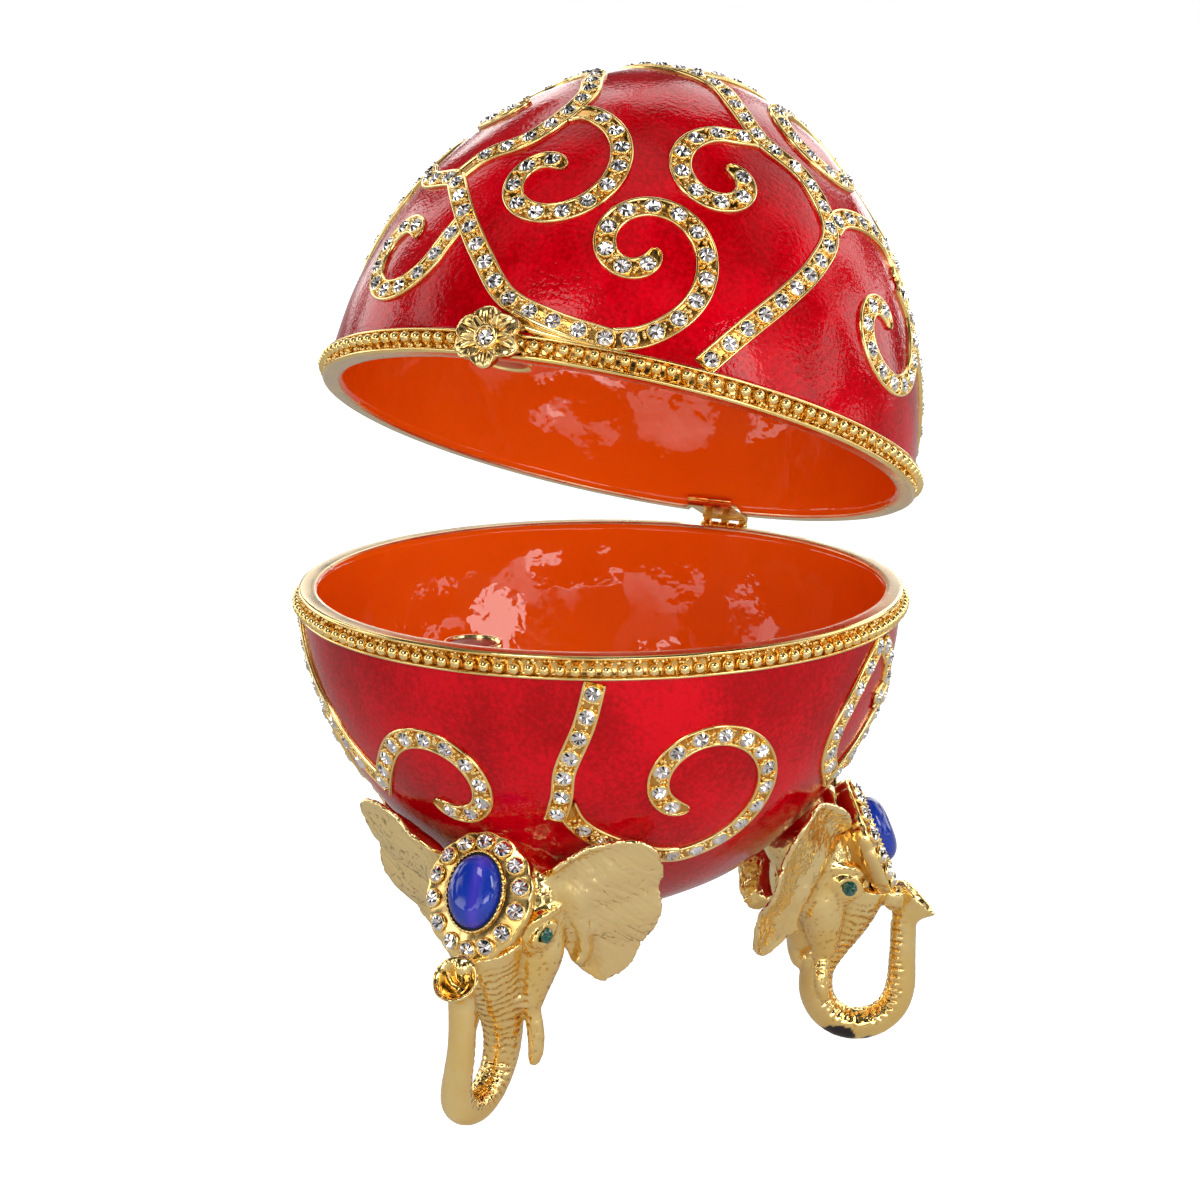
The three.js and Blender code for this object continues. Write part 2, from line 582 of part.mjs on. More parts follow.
function elephantBlank() {
  let body = headAndTrunk();
  body = body.add(solid(ornamentPlate(ORNAMENT_WIDTH, ORNAMENT_LENGTH, -ORNAMENT_BACK, ORNAMENT_FACE)));
  body = body.add(solid(ornamentPlate(CABOCHON_WIDTH + 2 * (SEAT_GAP + BEZEL_WALL),
    CABOCHON_LENGTH + 2 * (SEAT_GAP + BEZEL_WALL), -1, BEZEL_HEIGHT + 0.9)));
  body = body.subtract(solid(ornamentPlate(CABOCHON_WIDTH + 2 * SEAT_GAP, CABOCHON_LENGTH + 2 * SEAT_GAP, 0.2, 6)));
  body = body.add(solid(new THREE.BoxGeometry(3.4, 3.6, 6.4).rotateY(rad(-18)).translate(44.9, 0, -48.6)));
  for (const side of [-1, 1]) {
    body = body.add(ear(side)).add(tusk(side));
    body = body.add(ball(36.4, side * 6.8, -42.6, 3.4, 3.4, 3.6));
  }
  return body.add(ball(30.2, 0, -55.2, 2.6, 4.2, 5.0));
}

const placeFoot = (k) => 90 - (k * 360) / FOOT_COUNT;

// The elephant at place k, trimmed to the bowl behind it and to the ground below
function makeElephant(k, blank, keepOut, ground) {
  return blank.rotate([0, 0, -placeFoot(k)]).subtract(keepOut).subtract(ground);
}

const egg = new THREE.Group();
egg.position.z = RIM_HEIGHT;
const lidGroup = new THREE.Group();

function addMesh(parent, name, geometry, material) {
  const mesh = new THREE.Mesh(geometry, material);
  mesh.name = name;
  parent.add(mesh);
}

addMesh(egg, 'bowl', geometryOf(makeBowl()), ENAMEL_RED);
addMesh(egg, 'bowl_magnet', magnetDisc(-1), MAGNET_METAL);
addMesh(egg, 'hinge_bowl_leaf', geometryOf(makeBowlLeaf()), GOLD);
addMesh(egg, 'hinge_pin', makeHingePin(), GOLD);

const blank = elephantBlank();
const keepOut = solid(outerBlank(BOWL_SHELL, NECK_GAP));
const groundBox = new THREE.BoxGeometry(4 * BAND_OUTER, 4 * BAND_OUTER, 10);
const ground = solid(groundBox.translate(0, 0, -RIM_HEIGHT - 5));
['front', 'right', 'left'].forEach((place, k) => {
  addMesh(egg, `elephant_${place}`, geometryOf(makeElephant(k, blank, keepOut, ground)), GOLD);
  addMesh(egg, `cabochon_${place}`, cabochonDome().rotateZ(rad(-placeFoot(k))), CABOCHON_BLUE);
});

// The lid's pieces are drawn closed and turned together about the hinge
const lidPieces = new THREE.Group();
lidPieces.position.set(0, -HINGE_BACK, HINGE_DROP);
lidGroup.position.set(0, HINGE_BACK, -HINGE_DROP);
lidGroup.rotation.x = -rad(LID_OPEN);
lidGroup.add(lidPieces);
egg.add(lidGroup);
addMesh(lidPieces, 'lid', geometryOf(makeLid().translate([0, 0, RIM_GAP])), ENAMEL_RED);
addMesh(lidPieces, 'lid_magnet', magnetDisc(1).translate(0, 0, RIM_GAP), MAGNET_METAL);
addMesh(lidPieces, 'hinge_lid_leaf', geometryOf(makeLidLeaf()), GOLD);

// The origin is the middle of the whole box's footprint
const model = new THREE.Group();
model.add(egg);
model.updateMatrixWorld(true);
const box = new THREE.Box3().setFromObject(model, true);
egg.position.x -= (box.min.x + box.max.x) / 2;
egg.position.y -= (box.min.y + box.max.y) / 2;

export default model;
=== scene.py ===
import json
import math

import bpy
import numpy as np
from mathutils import Matrix, Vector, noise


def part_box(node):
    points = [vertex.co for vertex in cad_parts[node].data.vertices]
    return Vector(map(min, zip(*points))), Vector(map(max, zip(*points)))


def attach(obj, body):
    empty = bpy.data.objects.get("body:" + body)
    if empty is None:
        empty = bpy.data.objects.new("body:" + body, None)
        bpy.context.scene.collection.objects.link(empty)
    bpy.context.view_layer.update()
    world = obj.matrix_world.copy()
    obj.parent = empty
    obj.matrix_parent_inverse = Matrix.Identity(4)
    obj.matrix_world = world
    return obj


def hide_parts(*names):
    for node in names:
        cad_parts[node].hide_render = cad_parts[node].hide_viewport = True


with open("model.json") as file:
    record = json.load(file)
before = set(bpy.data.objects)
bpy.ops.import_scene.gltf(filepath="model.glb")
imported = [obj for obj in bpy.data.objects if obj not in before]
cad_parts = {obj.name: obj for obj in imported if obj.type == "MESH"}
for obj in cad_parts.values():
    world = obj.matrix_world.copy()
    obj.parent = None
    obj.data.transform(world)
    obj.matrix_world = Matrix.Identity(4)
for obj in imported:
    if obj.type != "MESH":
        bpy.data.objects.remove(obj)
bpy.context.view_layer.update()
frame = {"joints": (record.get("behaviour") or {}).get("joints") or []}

# The place of the egg on the table.
# Every piece is worked out in millimetres from the middle of the bowl's rim,
# with the front towards -Y, and the lid's pieces are drawn shut.
MM = 0.001
bowl_low, bowl_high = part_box("bowl")
RIM_CENTRE = np.array([0.0, (bowl_low.y + bowl_high.y) / 2, bowl_high.z])
hinge_joint = frame["joints"][0]
HINGE_AT = (np.array(hinge_joint["pos_m"]) - RIM_CENTRE) / MM
LID_OPEN = math.radians(-hinge_joint["range_deg"][0])


def lift_lid(points):
    """Turns points of the shut lid about the hinge to the pose of the photo."""
    rel = np.asarray(points, float) - HINGE_AT
    c, s = math.cos(LID_OPEN), math.sin(LID_OPEN)
    turned = np.stack([rel[:, 0], rel[:, 1] * c + rel[:, 2] * s, -rel[:, 1] * s + rel[:, 2] * c], axis=1)
    return turned + HINGE_AT


def piece(name, points, faces, materials, body, lid=False, smooth=True, slots=None, marks=None):
    """Makes one mesh object in metres from points in millimetres, and lets it ride on its body."""
    points = lift_lid(points) if lid else np.asarray(points, float)
    mesh = bpy.data.meshes.new(name)
    mesh.from_pydata((points * MM + RIM_CENTRE).tolist(), [], [list(map(int, f)) for f in faces])
    for material in materials:
        mesh.materials.append(material)
    if slots is not None:
        mesh.polygons.foreach_set("material_index", np.asarray(slots, np.int32))
    for key, values in (marks or {}).items():
        mark = mesh.attributes.new(key, "FLOAT", "POINT")
        mark.data.foreach_set("value", np.asarray(values, np.float32))
    mesh.polygons.foreach_set("use_smooth", np.full(len(mesh.polygons), smooth))
    mesh.update()
    made = bpy.data.objects.new(name, mesh)
    bpy.context.scene.collection.objects.link(made)
    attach(made, body)
    return made


def grid_faces(rows, columns, wrap_rows=False, wrap_columns=False):
    """Quads of a grid of points that is stored row by row."""
    i = np.arange(rows if wrap_rows else rows - 1)[:, None]
    j = np.arange(columns if wrap_columns else columns - 1)[None, :]
    i2, j2 = (i + 1) % rows, (j + 1) % columns
    quads = np.stack([i * columns + j, i * columns + j2, i2 * columns + j2, i2 * columns + j], axis=-1)
    return quads.reshape(-1, 4)


def unit(vectors):
    return vectors / np.maximum(np.linalg.norm(vectors, axis=-1, keepdims=True), 1e-12)


# Studio.
# A long lens looks a little down on the front left of the egg, in a white room
# whose camera side is dimmer, with large soft boxes that show in the enamel.
CAMERA_TURN, CAMERA_RISE = math.radians(28.0), math.radians(13.42)
CAMERA_DISTANCE = 600.0
CAMERA_SHIFT = (-0.11, -2.65)
CAMERA_LENS = 120.67
ROOM_SCALE = 3.8
ROOM_LEVELS = (1.45, 0.14)
PATCH_LEVELS = (0.06, 1.9)
SOFT_LIGHT = 0.36
OVERHEAD = (0.35 * math.sin(CAMERA_TURN), -0.35 * math.cos(CAMERA_TURN), 0.94)

scene = bpy.context.scene
scene.view_settings.view_transform = "Standard"
towards = np.array([math.sin(CAMERA_TURN) * math.cos(CAMERA_RISE),
                    -math.cos(CAMERA_TURN) * math.cos(CAMERA_RISE), math.sin(CAMERA_RISE)])
camera_right = np.array([math.cos(CAMERA_TURN), math.sin(CAMERA_TURN), 0.0])
camera_up = np.cross(camera_right, -towards)
camera_at = CAMERA_DISTANCE * towards + CAMERA_SHIFT[0] * camera_right + CAMERA_SHIFT[1] * camera_up
camera_data = bpy.data.cameras.new("camera")
camera_data.lens = CAMERA_LENS
camera_data.sensor_width = 36.0
camera_data.clip_start = 0.02
camera = bpy.data.objects.new("camera", camera_data)
scene.collection.objects.link(camera)
axes = np.eye(4)
axes[:3, 0], axes[:3, 1], axes[:3, 2] = camera_right, camera_up, towards
axes[:3, 3] = camera_at * MM + RIM_CENTRE
camera.matrix_world = Matrix(axes.tolist())
scene.camera = camera


def put(tree, kind, inputs=(), **settings):
    """Adds a node: inputs maps a socket's name or number to a value or to the socket that feeds it."""
    made = tree.nodes.new(kind)
    for key, value in settings.items():
        setattr(made, key, value)
    for key, value in dict(inputs).items():
        if isinstance(value, bpy.types.NodeSocket):
            tree.links.new(value, made.inputs[key])
        else:
            made.inputs[key].default_value = value
    return made


world = bpy.data.worlds.new("white_room")
scene.world = world
world.use_nodes = True
sky = world.node_tree
sky.nodes.clear()
heading = put(sky, "ShaderNodeTexCoord")
facing = put(sky, "ShaderNodeVectorMath", {0: heading.outputs["Generated"], 1: OVERHEAD},
             operation="DOT_PRODUCT")
dimmer = put(sky, "ShaderNodeMapRange", {"Value": facing.outputs["Value"], "From Min": 0.20, "From Max": 0.76,
             "To Min": ROOM_LEVELS[0], "To Max": ROOM_LEVELS[1]}, interpolation_type="SMOOTHSTEP")
clutter = put(sky, "ShaderNodeTexNoise", {"Vector": heading.outputs["Generated"], "Scale": ROOM_SCALE,
              "Detail": 1.0})
patches = put(sky, "ShaderNodeMapRange", {"Value": clutter.outputs["Fac"], "From Min": 0.45, "From Max": 0.55,
              "To Min": PATCH_LEVELS[0], "To Max": PATCH_LEVELS[1]}, interpolation_type="SMOOTHSTEP")
level = put(sky, "ShaderNodeMath", {0: dimmer.outputs["Result"], 1: patches.outputs["Result"]},
            operation="MULTIPLY")
seen = put(sky, "ShaderNodeLightPath")
soft_level = put(sky, "ShaderNodeMix", {"Factor": seen.outputs["Is Diffuse Ray"], "A": level.outputs[0],
                 "B": SOFT_LIGHT}, data_type="FLOAT")
room = put(sky, "ShaderNodeBackground", {"Color": (1.0, 0.985, 0.97, 1.0),
           "Strength": soft_level.outputs["Result"]})
backdrop = put(sky, "ShaderNodeBackground", {"Color": (1.0, 1.0, 1.0, 1.0), "Strength": 1.0})
either = put(sky, "ShaderNodeMixShader", {"Fac": seen.outputs["Is Camera Ray"], 1: room.outputs[0],
             2: backdrop.outputs[0]})
put(sky, "ShaderNodeOutputWorld", {"Surface": either.outputs[0]})


def soft_box(name, place, aim, size, watts, tint=(1.0, 0.97, 0.94)):
    """A rectangular area light at a place in millimetres from the rim, aimed at another."""
    light = bpy.data.lights.new(name, "AREA")
    light.shape = "RECTANGLE"
    light.size, light.size_y = size[0] * MM, size[1] * MM
    light.energy = watts
    light.color = tint
    made = bpy.data.objects.new(name, light)
    scene.collection.objects.link(made)
    made.location = Vector(place) * MM + Vector(RIM_CENTRE)
    made.rotation_euler = (Vector(aim) - Vector(place)).to_track_quat("-Z", "Y").to_euler()
    return made


def from_camera(turn, rise, distance):
    """A place round the egg, by degrees to the right of the camera and degrees up."""
    a, e = CAMERA_TURN + math.radians(turn), math.radians(rise)
    return (distance * math.sin(a) * math.cos(e), -distance * math.cos(a) * math.cos(e), distance * math.sin(e))


# Each lamp's place, the place it aims at, its width and height, all in millimetres, and its watts
LAMPS = {"key_box": (from_camera(-34, 46, 420), (0, 0, 10), (110, 140), 0.26),
         "side_box": (from_camera(50, 26, 420), (0, 0, 0), (90, 190), 0.34),
         "top_box": ((0, 20, 430), (0, 0, 0), (200, 160), 0.05),
         "low_box": (from_camera(14, 2, 430), (0, 0, -40), (260, 80), 0.26),
         "fill_box": (from_camera(4, 16, 600), (0, 0, 0), (420, 420), 1.6)}
lamps = {name: soft_box(name, *lamp) for name, lamp in LAMPS.items()}
lamps["fill_box"].visible_glossy = False

# Table.
# A plain white table top, bright enough to run into the backdrop.
table_white = bpy.data.materials.new("table_white")
table_white.use_nodes = True
table_shader = table_white.node_tree.nodes["Principled BSDF"]
table_shader.inputs["Base Color"].default_value = (0.5, 0.5, 0.5, 1.0)
table_shader.inputs["Roughness"].default_value = 0.9
table_shader.inputs["Emission Color"].default_value = (1.0, 1.0, 1.0, 1.0)
TABLE_SEEN, TABLE_LIGHT = 1.0, 0.12
table_tree = table_white.node_tree
table_rays = put(table_tree, "ShaderNodeLightPath")
table_glow = put(table_tree, "ShaderNodeMapRange", {"Value": table_rays.outputs["Is Camera Ray"],
                 "To Min": TABLE_LIGHT, "To Max": TABLE_SEEN})
table_tree.links.new(table_glow.outputs["Result"], table_shader.inputs["Emission Strength"])
TABLE_HALF = 1.6
bpy.ops.mesh.primitive_plane_add(size=2 * TABLE_HALF, location=(0, 0, 0))
table = bpy.context.object
table.name = "table_top"
table.data.materials.append(table_white)

# Enamel and gold finishes.
# The red enamel is a clear glossy coat over textured metal, the lining a plain
# orange enamel, and the gold a thin bright plating with painted shade in its hollows.


def new_group(name, inputs, outputs):
    """A shader node group with float inputs and outputs of the types given."""
    group = bpy.data.node_groups.new(name, "ShaderNodeTree")
    for label, value in inputs:
        socket = group.interface.new_socket(label, in_out="INPUT", socket_type="NodeSocketFloat")
        socket.default_value = value
    for label, kind in outputs:
        group.interface.new_socket(label, in_out="OUTPUT", socket_type=kind)
    return group, put(group, "NodeGroupInput"), put(group, "NodeGroupOutput")


# Mottle: slow and fine variation over the surface, as a mask and as a height
mottle, mottle_in, mottle_out = new_group(
    "mottle", [("Slow Scale", 90.0), ("Fine Scale", 900.0), ("Fine Share", 0.5)],
    [("Mask", "NodeSocketFloat"), ("Height", "NodeSocketFloat")])
spot = put(mottle, "ShaderNodeTexCoord").outputs["Object"]
slow = put(mottle, "ShaderNodeTexNoise", {"Vector": spot, "Scale": mottle_in.outputs["Slow Scale"], "Detail": 3.0})
fine = put(mottle, "ShaderNodeTexNoise", {"Vector": spot, "Scale": mottle_in.outputs["Fine Scale"], "Detail": 2.0})
both = put(mottle, "ShaderNodeMix", {"Factor": mottle_in.outputs["Fine Share"], "A": slow.outputs["Fac"],
           "B": fine.outputs["Fac"]}, data_type="FLOAT")
mottle.links.new(slow.outputs["Fac"], mottle_out.inputs["Mask"])
mottle.links.new(both.outputs["Result"], mottle_out.inputs["Height"])


def mottled(tree, slow_scale=90.0, fine_scale=900.0, fine_share=0.5):
    """Places the mottle in a material, with its own values."""
    values = {"Slow Scale": slow_scale, "Fine Scale": fine_scale, "Fine Share": fine_share}
    return put(tree, "ShaderNodeGroup", values, node_tree=mottle)


def finish(name, roughness, metallic=0.0, coat=0.0, coat_roughness=0.03):
    """A material with a Principled shader, ready for its colour and bump."""
    material = bpy.data.materials.new(name)
    material.use_nodes = True
    shader = material.node_tree.nodes["Principled BSDF"]
    shader.inputs["Roughness"].default_value = roughness
    shader.inputs["Metallic"].default_value = metallic
    shader.inputs["Coat Weight"].default_value = coat
    shader.inputs["Coat Roughness"].default_value = coat_roughness
    return material, material.node_tree, shader


def blend_colours(tree, factor, first, second):
    """Mixes two colours by a mask, and gives the socket of the result."""
    return put(tree, "ShaderNodeMix", {"Factor": factor, "A": first, "B": second}, data_type="RGBA").outputs["Result"]


def ramp(tree, value, low, high):
    """A smooth mask that rises from 0 to 1 as the value goes from low to high."""
    return put(tree, "ShaderNodeMapRange", {"Value": value, "From Min": low, "From Max": high},
               interpolation_type="SMOOTHSTEP").outputs["Result"]


def bump(tree, shader, height, strength, distance):
    made = put(tree, "ShaderNodeBump", {"Strength": strength, "Distance": distance * MM, "Height": height})
    tree.links.new(made.outputs["Normal"], shader.inputs["Normal"])


def named_mark(tree, label):
    return put(tree, "ShaderNodeAttribute", attribute_name=label).outputs["Fac"]


RED_DEEP, RED_BRIGHT = (0.33, 0.0, 0.002, 1.0), (0.60, 0.0, 0.008, 1.0)
red_enamel, red_tree, red_shader = finish("red_enamel", 0.055)
red_cast = mottled(red_tree, 70.0, 1500.0, 0.40)
red_depth = ramp(red_tree, red_cast.outputs["Height"], 0.36, 0.64)
red_tree.links.new(blend_colours(red_tree, red_depth, RED_DEEP, RED_BRIGHT), red_shader.inputs["Base Color"])
red_shader.inputs["Specular IOR Level"].default_value = 0.20
bump(red_tree, red_shader, red_cast.outputs["Height"], 0.6, 0.22)

ORANGE_DEEP, ORANGE_BRIGHT = (0.92, 0.11, 0.001, 1.0), (1.0, 0.145, 0.003, 1.0)
orange_enamel, orange_tree, orange_shader = finish("orange_enamel", 0.045)
orange_cast = mottled(orange_tree, 60.0, 300.0, 0.45)
orange_colour = blend_colours(orange_tree, orange_cast.outputs["Mask"], ORANGE_DEEP, ORANGE_BRIGHT)
orange_tree.links.new(orange_colour, orange_shader.inputs["Base Color"])
bump(orange_tree, orange_shader, orange_cast.outputs["Height"], 1.0, 0.30)

GOLD_BRIGHT = (1.0, 0.78, 0.36, 1.0)
GOLD_MID = (0.98, 0.69, 0.24, 1.0)
# Orange-brown painted shade for the gold's crevices and hollows
GOLD_HOLLOW_SHADE = (0.52, 0.21, 0.015, 1.0)


def gold_finish(name, roughness, fine_scale, bump_strength, bright=GOLD_BRIGHT, mid=GOLD_MID):
    """Gold plating: paler in random patches, with orange-brown painted shade where the mark named crevice_shade is
    high.
    """
    material, tree, shader = finish(name, roughness, metallic=1.0)
    cast = mottled(tree, 140.0, fine_scale)
    tone = blend_colours(tree, ramp(tree, cast.outputs["Mask"], 0.3, 0.7), mid, bright)
    hollow = blend_colours(tree, named_mark(tree, "crevice_shade"), tone, GOLD_HOLLOW_SHADE)
    tree.links.new(hollow, shader.inputs["Base Color"])
    dull = put(tree, "ShaderNodeMapRange", {"Value": cast.outputs["Mask"], "From Min": 0.3, "From Max": 0.75,
               "To Min": roughness * 0.75, "To Max": roughness * 1.4})
    tree.links.new(dull.outputs["Result"], shader.inputs["Roughness"])
    bump(tree, shader, cast.outputs["Height"], bump_strength, 0.08)
    return material, tree, shader, hollow


bright_gold = gold_finish("bright_gold", 0.16, 1300.0, 0.25)[0]
rim_gold = gold_finish("rim_gold", 0.30, 700.0, 0.12, (0.90, 0.74, 0.47, 1.0), (0.80, 0.63, 0.38, 1.0))[0]

# Egg shells.
# Bowl and lid are cast shells, turned to R(z) = radius * (1 - (z / height) ^ power) ^ fullness,
# enamelled red outside and orange inside, a little lumpy from the casting.
LID_SHELL = {"radius": 44.4, "height": 57.0, "power": 2.02, "fullness": 0.54, "up": 1}
BOWL_SHELL = {"radius": 44.6, "height": 49.8, "power": 2.05, "fullness": 0.60, "up": -1}
WALL = 2.3
BAND_INNER = 42.4
BAND_DEPTH = 3.6
RIM_GAP = 0.3
TURNS = 280
SHELL_ROWS, HIDDEN_ROWS = 80, 14
ENAMEL_DEEP, ENAMEL_FROM = 1.1, BAND_DEPTH - 0.6
LINING_OUT, LINING_FROM = 1.2, 0.35
# Size and depth of the slow lumps of each skin, then of the fine ones
ENAMEL_LUMPS = (9.0, 0.16, 1.3, 0.012)
LINING_LUMPS = (7.0, 0.34, 2.2, 0.05)
NOTCH = (-7.3, 1.3)
NOTCH_BACK = 35.0
NOTCH_DEPTH = {-1: 1.85, 1: 1.2}
NOTCH_FROM = {-1: 43.25, 1: 0.0}


def shell_radius(shell, z):
    share = np.clip(np.asarray(z, float) / shell["height"], 0, 1)
    return shell["radius"] * np.maximum(1 - share ** shell["power"], 0) ** shell["fullness"]


def grown(shell, amount):
    return {**shell, "radius": shell["radius"] + amount, "height": shell["height"] + amount}


def shell_profile(shell, start, rows):
    """Radius and height of a shell from a distance off the rim to its pole."""
    angle = np.linspace(math.asin(start / shell["height"]), math.pi / 2, rows)
    z = shell["height"] * np.sin(angle)
    return np.stack([shell_radius(shell, z), z], axis=1)


def lumps(points, size, depth, seed):
    """Smooth noise with lumps of a size in millimetres, as a height for each point."""
    shift = Vector((seed, 2 * seed, 3 * seed))
    return depth * np.array([noise.noise(Vector(p) / size + shift) for p in points])


def lathe(profile, shell, turns=TURNS):
    """Turns a closed profile of [radius, height off the rim] about the egg's axis. Poles are closed."""
    profile = np.asarray(profile, float)
    angle = np.linspace(0, 2 * math.pi, turns, endpoint=False)
    ring = np.stack([np.cos(angle), np.sin(angle)], axis=1)
    points, starts = [], []
    for r, z in profile:
        starts.append(len(points))
        if r < 1e-6:
            points.append([0.0, 0.0, shell["up"] * z])
        else:
            points.extend([r * x, r * y, shell["up"] * z] for x, y in ring)
    faces = []
    count = len(profile)
    for i in range(count):
        a, b = starts[i], starts[(i + 1) % count]
        pole_a, pole_b = profile[i][0] < 1e-6, profile[(i + 1) % count][0] < 1e-6
        for j in range(turns):
            k = (j + 1) % turns
            if pole_a and pole_b:
                continue
            if pole_a:
                faces.append([a, b + k, b + j])
            elif pole_b:
                faces.append([a + j, a + k, b])
            else:
                faces.append([a + j, a + k, b + k, b + j])
    if shell["up"] < 0:
        faces = [f[::-1] for f in faces]
    return np.array(points), faces


def shell_normals(shell, points):
    """Outward normals of the egg's surface under points on it."""
    flat = np.hypot(points[:, 0], points[:, 1])
    z = shell["up"] * points[:, 2]
    step = 0.05
    slope = (shell_radius(shell, z + step) - shell_radius(shell, np.maximum(z - step, 0))) / (2 * step)
    out = np.stack([points[:, 0] / np.maximum(flat, 1e-6), points[:, 1] / np.maximum(flat, 1e-6),
                    -slope * shell["up"]], axis=1)
    out[flat < 1e-3] = (0, 0, shell["up"])
    return unit(out)


def in_notch(points):
    """Finds the points at the back of a rim, where the hinge leaves pass through it."""
    return (points[:, 0] > NOTCH[0]) & (points[:, 0] < NOTCH[1]) & (points[:, 1] > NOTCH_BACK)


def notched(points, up):
    """Cuts the notch for the hinge leaves down into a rim: points in it move to its floor."""
    notch = in_notch(points) & (np.hypot(points[:, 0], points[:, 1]) > NOTCH_FROM[up])
    floor = NOTCH_DEPTH[up] * up
    deeper = np.where(notch & (points[:, 2] * up < NOTCH_DEPTH[up]), floor, points[:, 2])
    return np.column_stack([points[:, :2], deeper])


def make_shell(shell, label, node, body, lid):
    """The red outside and the orange lining of one half, as two closed skins of a wall."""
    lift = np.array([0, 0, RIM_GAP if lid else 0.0])
    layers = ((f"{label}_enamel", red_enamel, shell, grown(shell, -ENAMEL_DEEP), ENAMEL_FROM, ENAMEL_LUMPS),
              (f"{label}_lining", orange_enamel, grown(shell, -LINING_OUT), grown(shell, -WALL), LINING_FROM,
               LINING_LUMPS))
    for name, material, outer, inner, start, (size, depth, small, ripple) in layers:
        shown = outer if material is red_enamel else inner
        rows = (SHELL_ROWS, HIDDEN_ROWS) if shown is outer else (HIDDEN_ROWS, SHELL_ROWS)
        outside = shell_profile(outer, start, rows[0])
        inside = shell_profile(inner, start, rows[1])[::-1]
        points, faces = lathe(np.concatenate([outside, inside]), shell)
        normals = shell_normals(shown, points)
        z = shell["up"] * points[:, 2]
        calm = np.clip((z - start) / 3.0, 0, 1)
        near = np.abs(np.hypot(points[:, 0], points[:, 1]) - shell_radius(shown, z)) < 0.3
        high = z > shown["height"] * 0.97
        sway = lumps(points, size, depth, 3.0 + len(name)) + lumps(points, small, ripple, 7.0)
        points = notched(points + normals * (sway * calm * (near | high))[:, None], shell["up"]) + lift
        made = piece(name, points, faces, [material], body, lid)
        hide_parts(node)


make_shell(BOWL_SHELL, "bowl", "bowl", "base", False)
make_shell(LID_SHELL, "lid", "lid", "lid", True)

# Gold rims.
# Each half ends in a flat matt rim with a bright bevel, a pebbled groove, a row of
# beads and a thin ledge against the enamel, all cast with the shell.
BEAD_COUNT = 130
BEAD_SIZE = 1.72
BEAD_CENTRE = 45.14
BEAD_DROP = 2.1
RIM_PROFILE = [(BAND_INNER - 0.05, 1.1), (BAND_INNER, 0.12), (BAND_INNER + 0.12, 0.0), (43.2, 0.0), (43.3, 0.0),
               (44.45, 0.0), (44.6, 0.03),
               (44.98, 0.28), (45.02, 0.45), (44.85, 0.7), (44.5, 0.85), (44.35, 1.3), (44.35, 2.7), (44.6, 3.02),
               (45.15, 3.08), (45.26, 3.22), (45.2, 3.42), (44.7, 3.62), (44.0, 3.7), (42.9, 3.6)]
FLAT_ROWS = 6
PEBBLES_PER_BEAD, PEBBLE_SIZE = 3, 0.34
# Painted shade for each row of the rim's profile: in the pebbled groove and along the ledge against the enamel
RIM_ROW_SHADE = [0, 0, 0, 0, 0, 0, 0, 0, 0.1, 0.3, 0.4, 0.5, 0.5, 0.4, 0.1, 0, 0.1, 0.4, 0.8, 0.8]


def make_rim(shell, label, node, body, lid):
    points, faces = lathe(RIM_PROFILE, shell)
    marks = np.repeat(RIM_ROW_SHADE, TURNS)
    slots = np.repeat([0] * FLAT_ROWS + [1] * (len(RIM_PROFILE) - FLAT_ROWS), TURNS)
    angle = np.arctan2(points[:, 1], points[:, 0])
    waver = 0.05 * np.array([noise.noise(Vector((9 * math.cos(a), 9 * math.sin(a), 1.7))) for a in angle])
    points[:, :2] *= (1 + waver / 45.0 * (marks < 0.6))[:, None]
    points = notched(points, shell["up"])
    points[:, 2] += RIM_GAP if lid else 0.0
    made = piece(f"{label}_rim", points, faces, [rim_gold, bright_gold], body, lid, slots=slots,
                 marks={"crevice_shade": marks})
    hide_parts(node)


make_rim(BOWL_SHELL, "bowl", "bowl", "base", False)
make_rim(LID_SHELL, "lid", "lid", "lid", True)


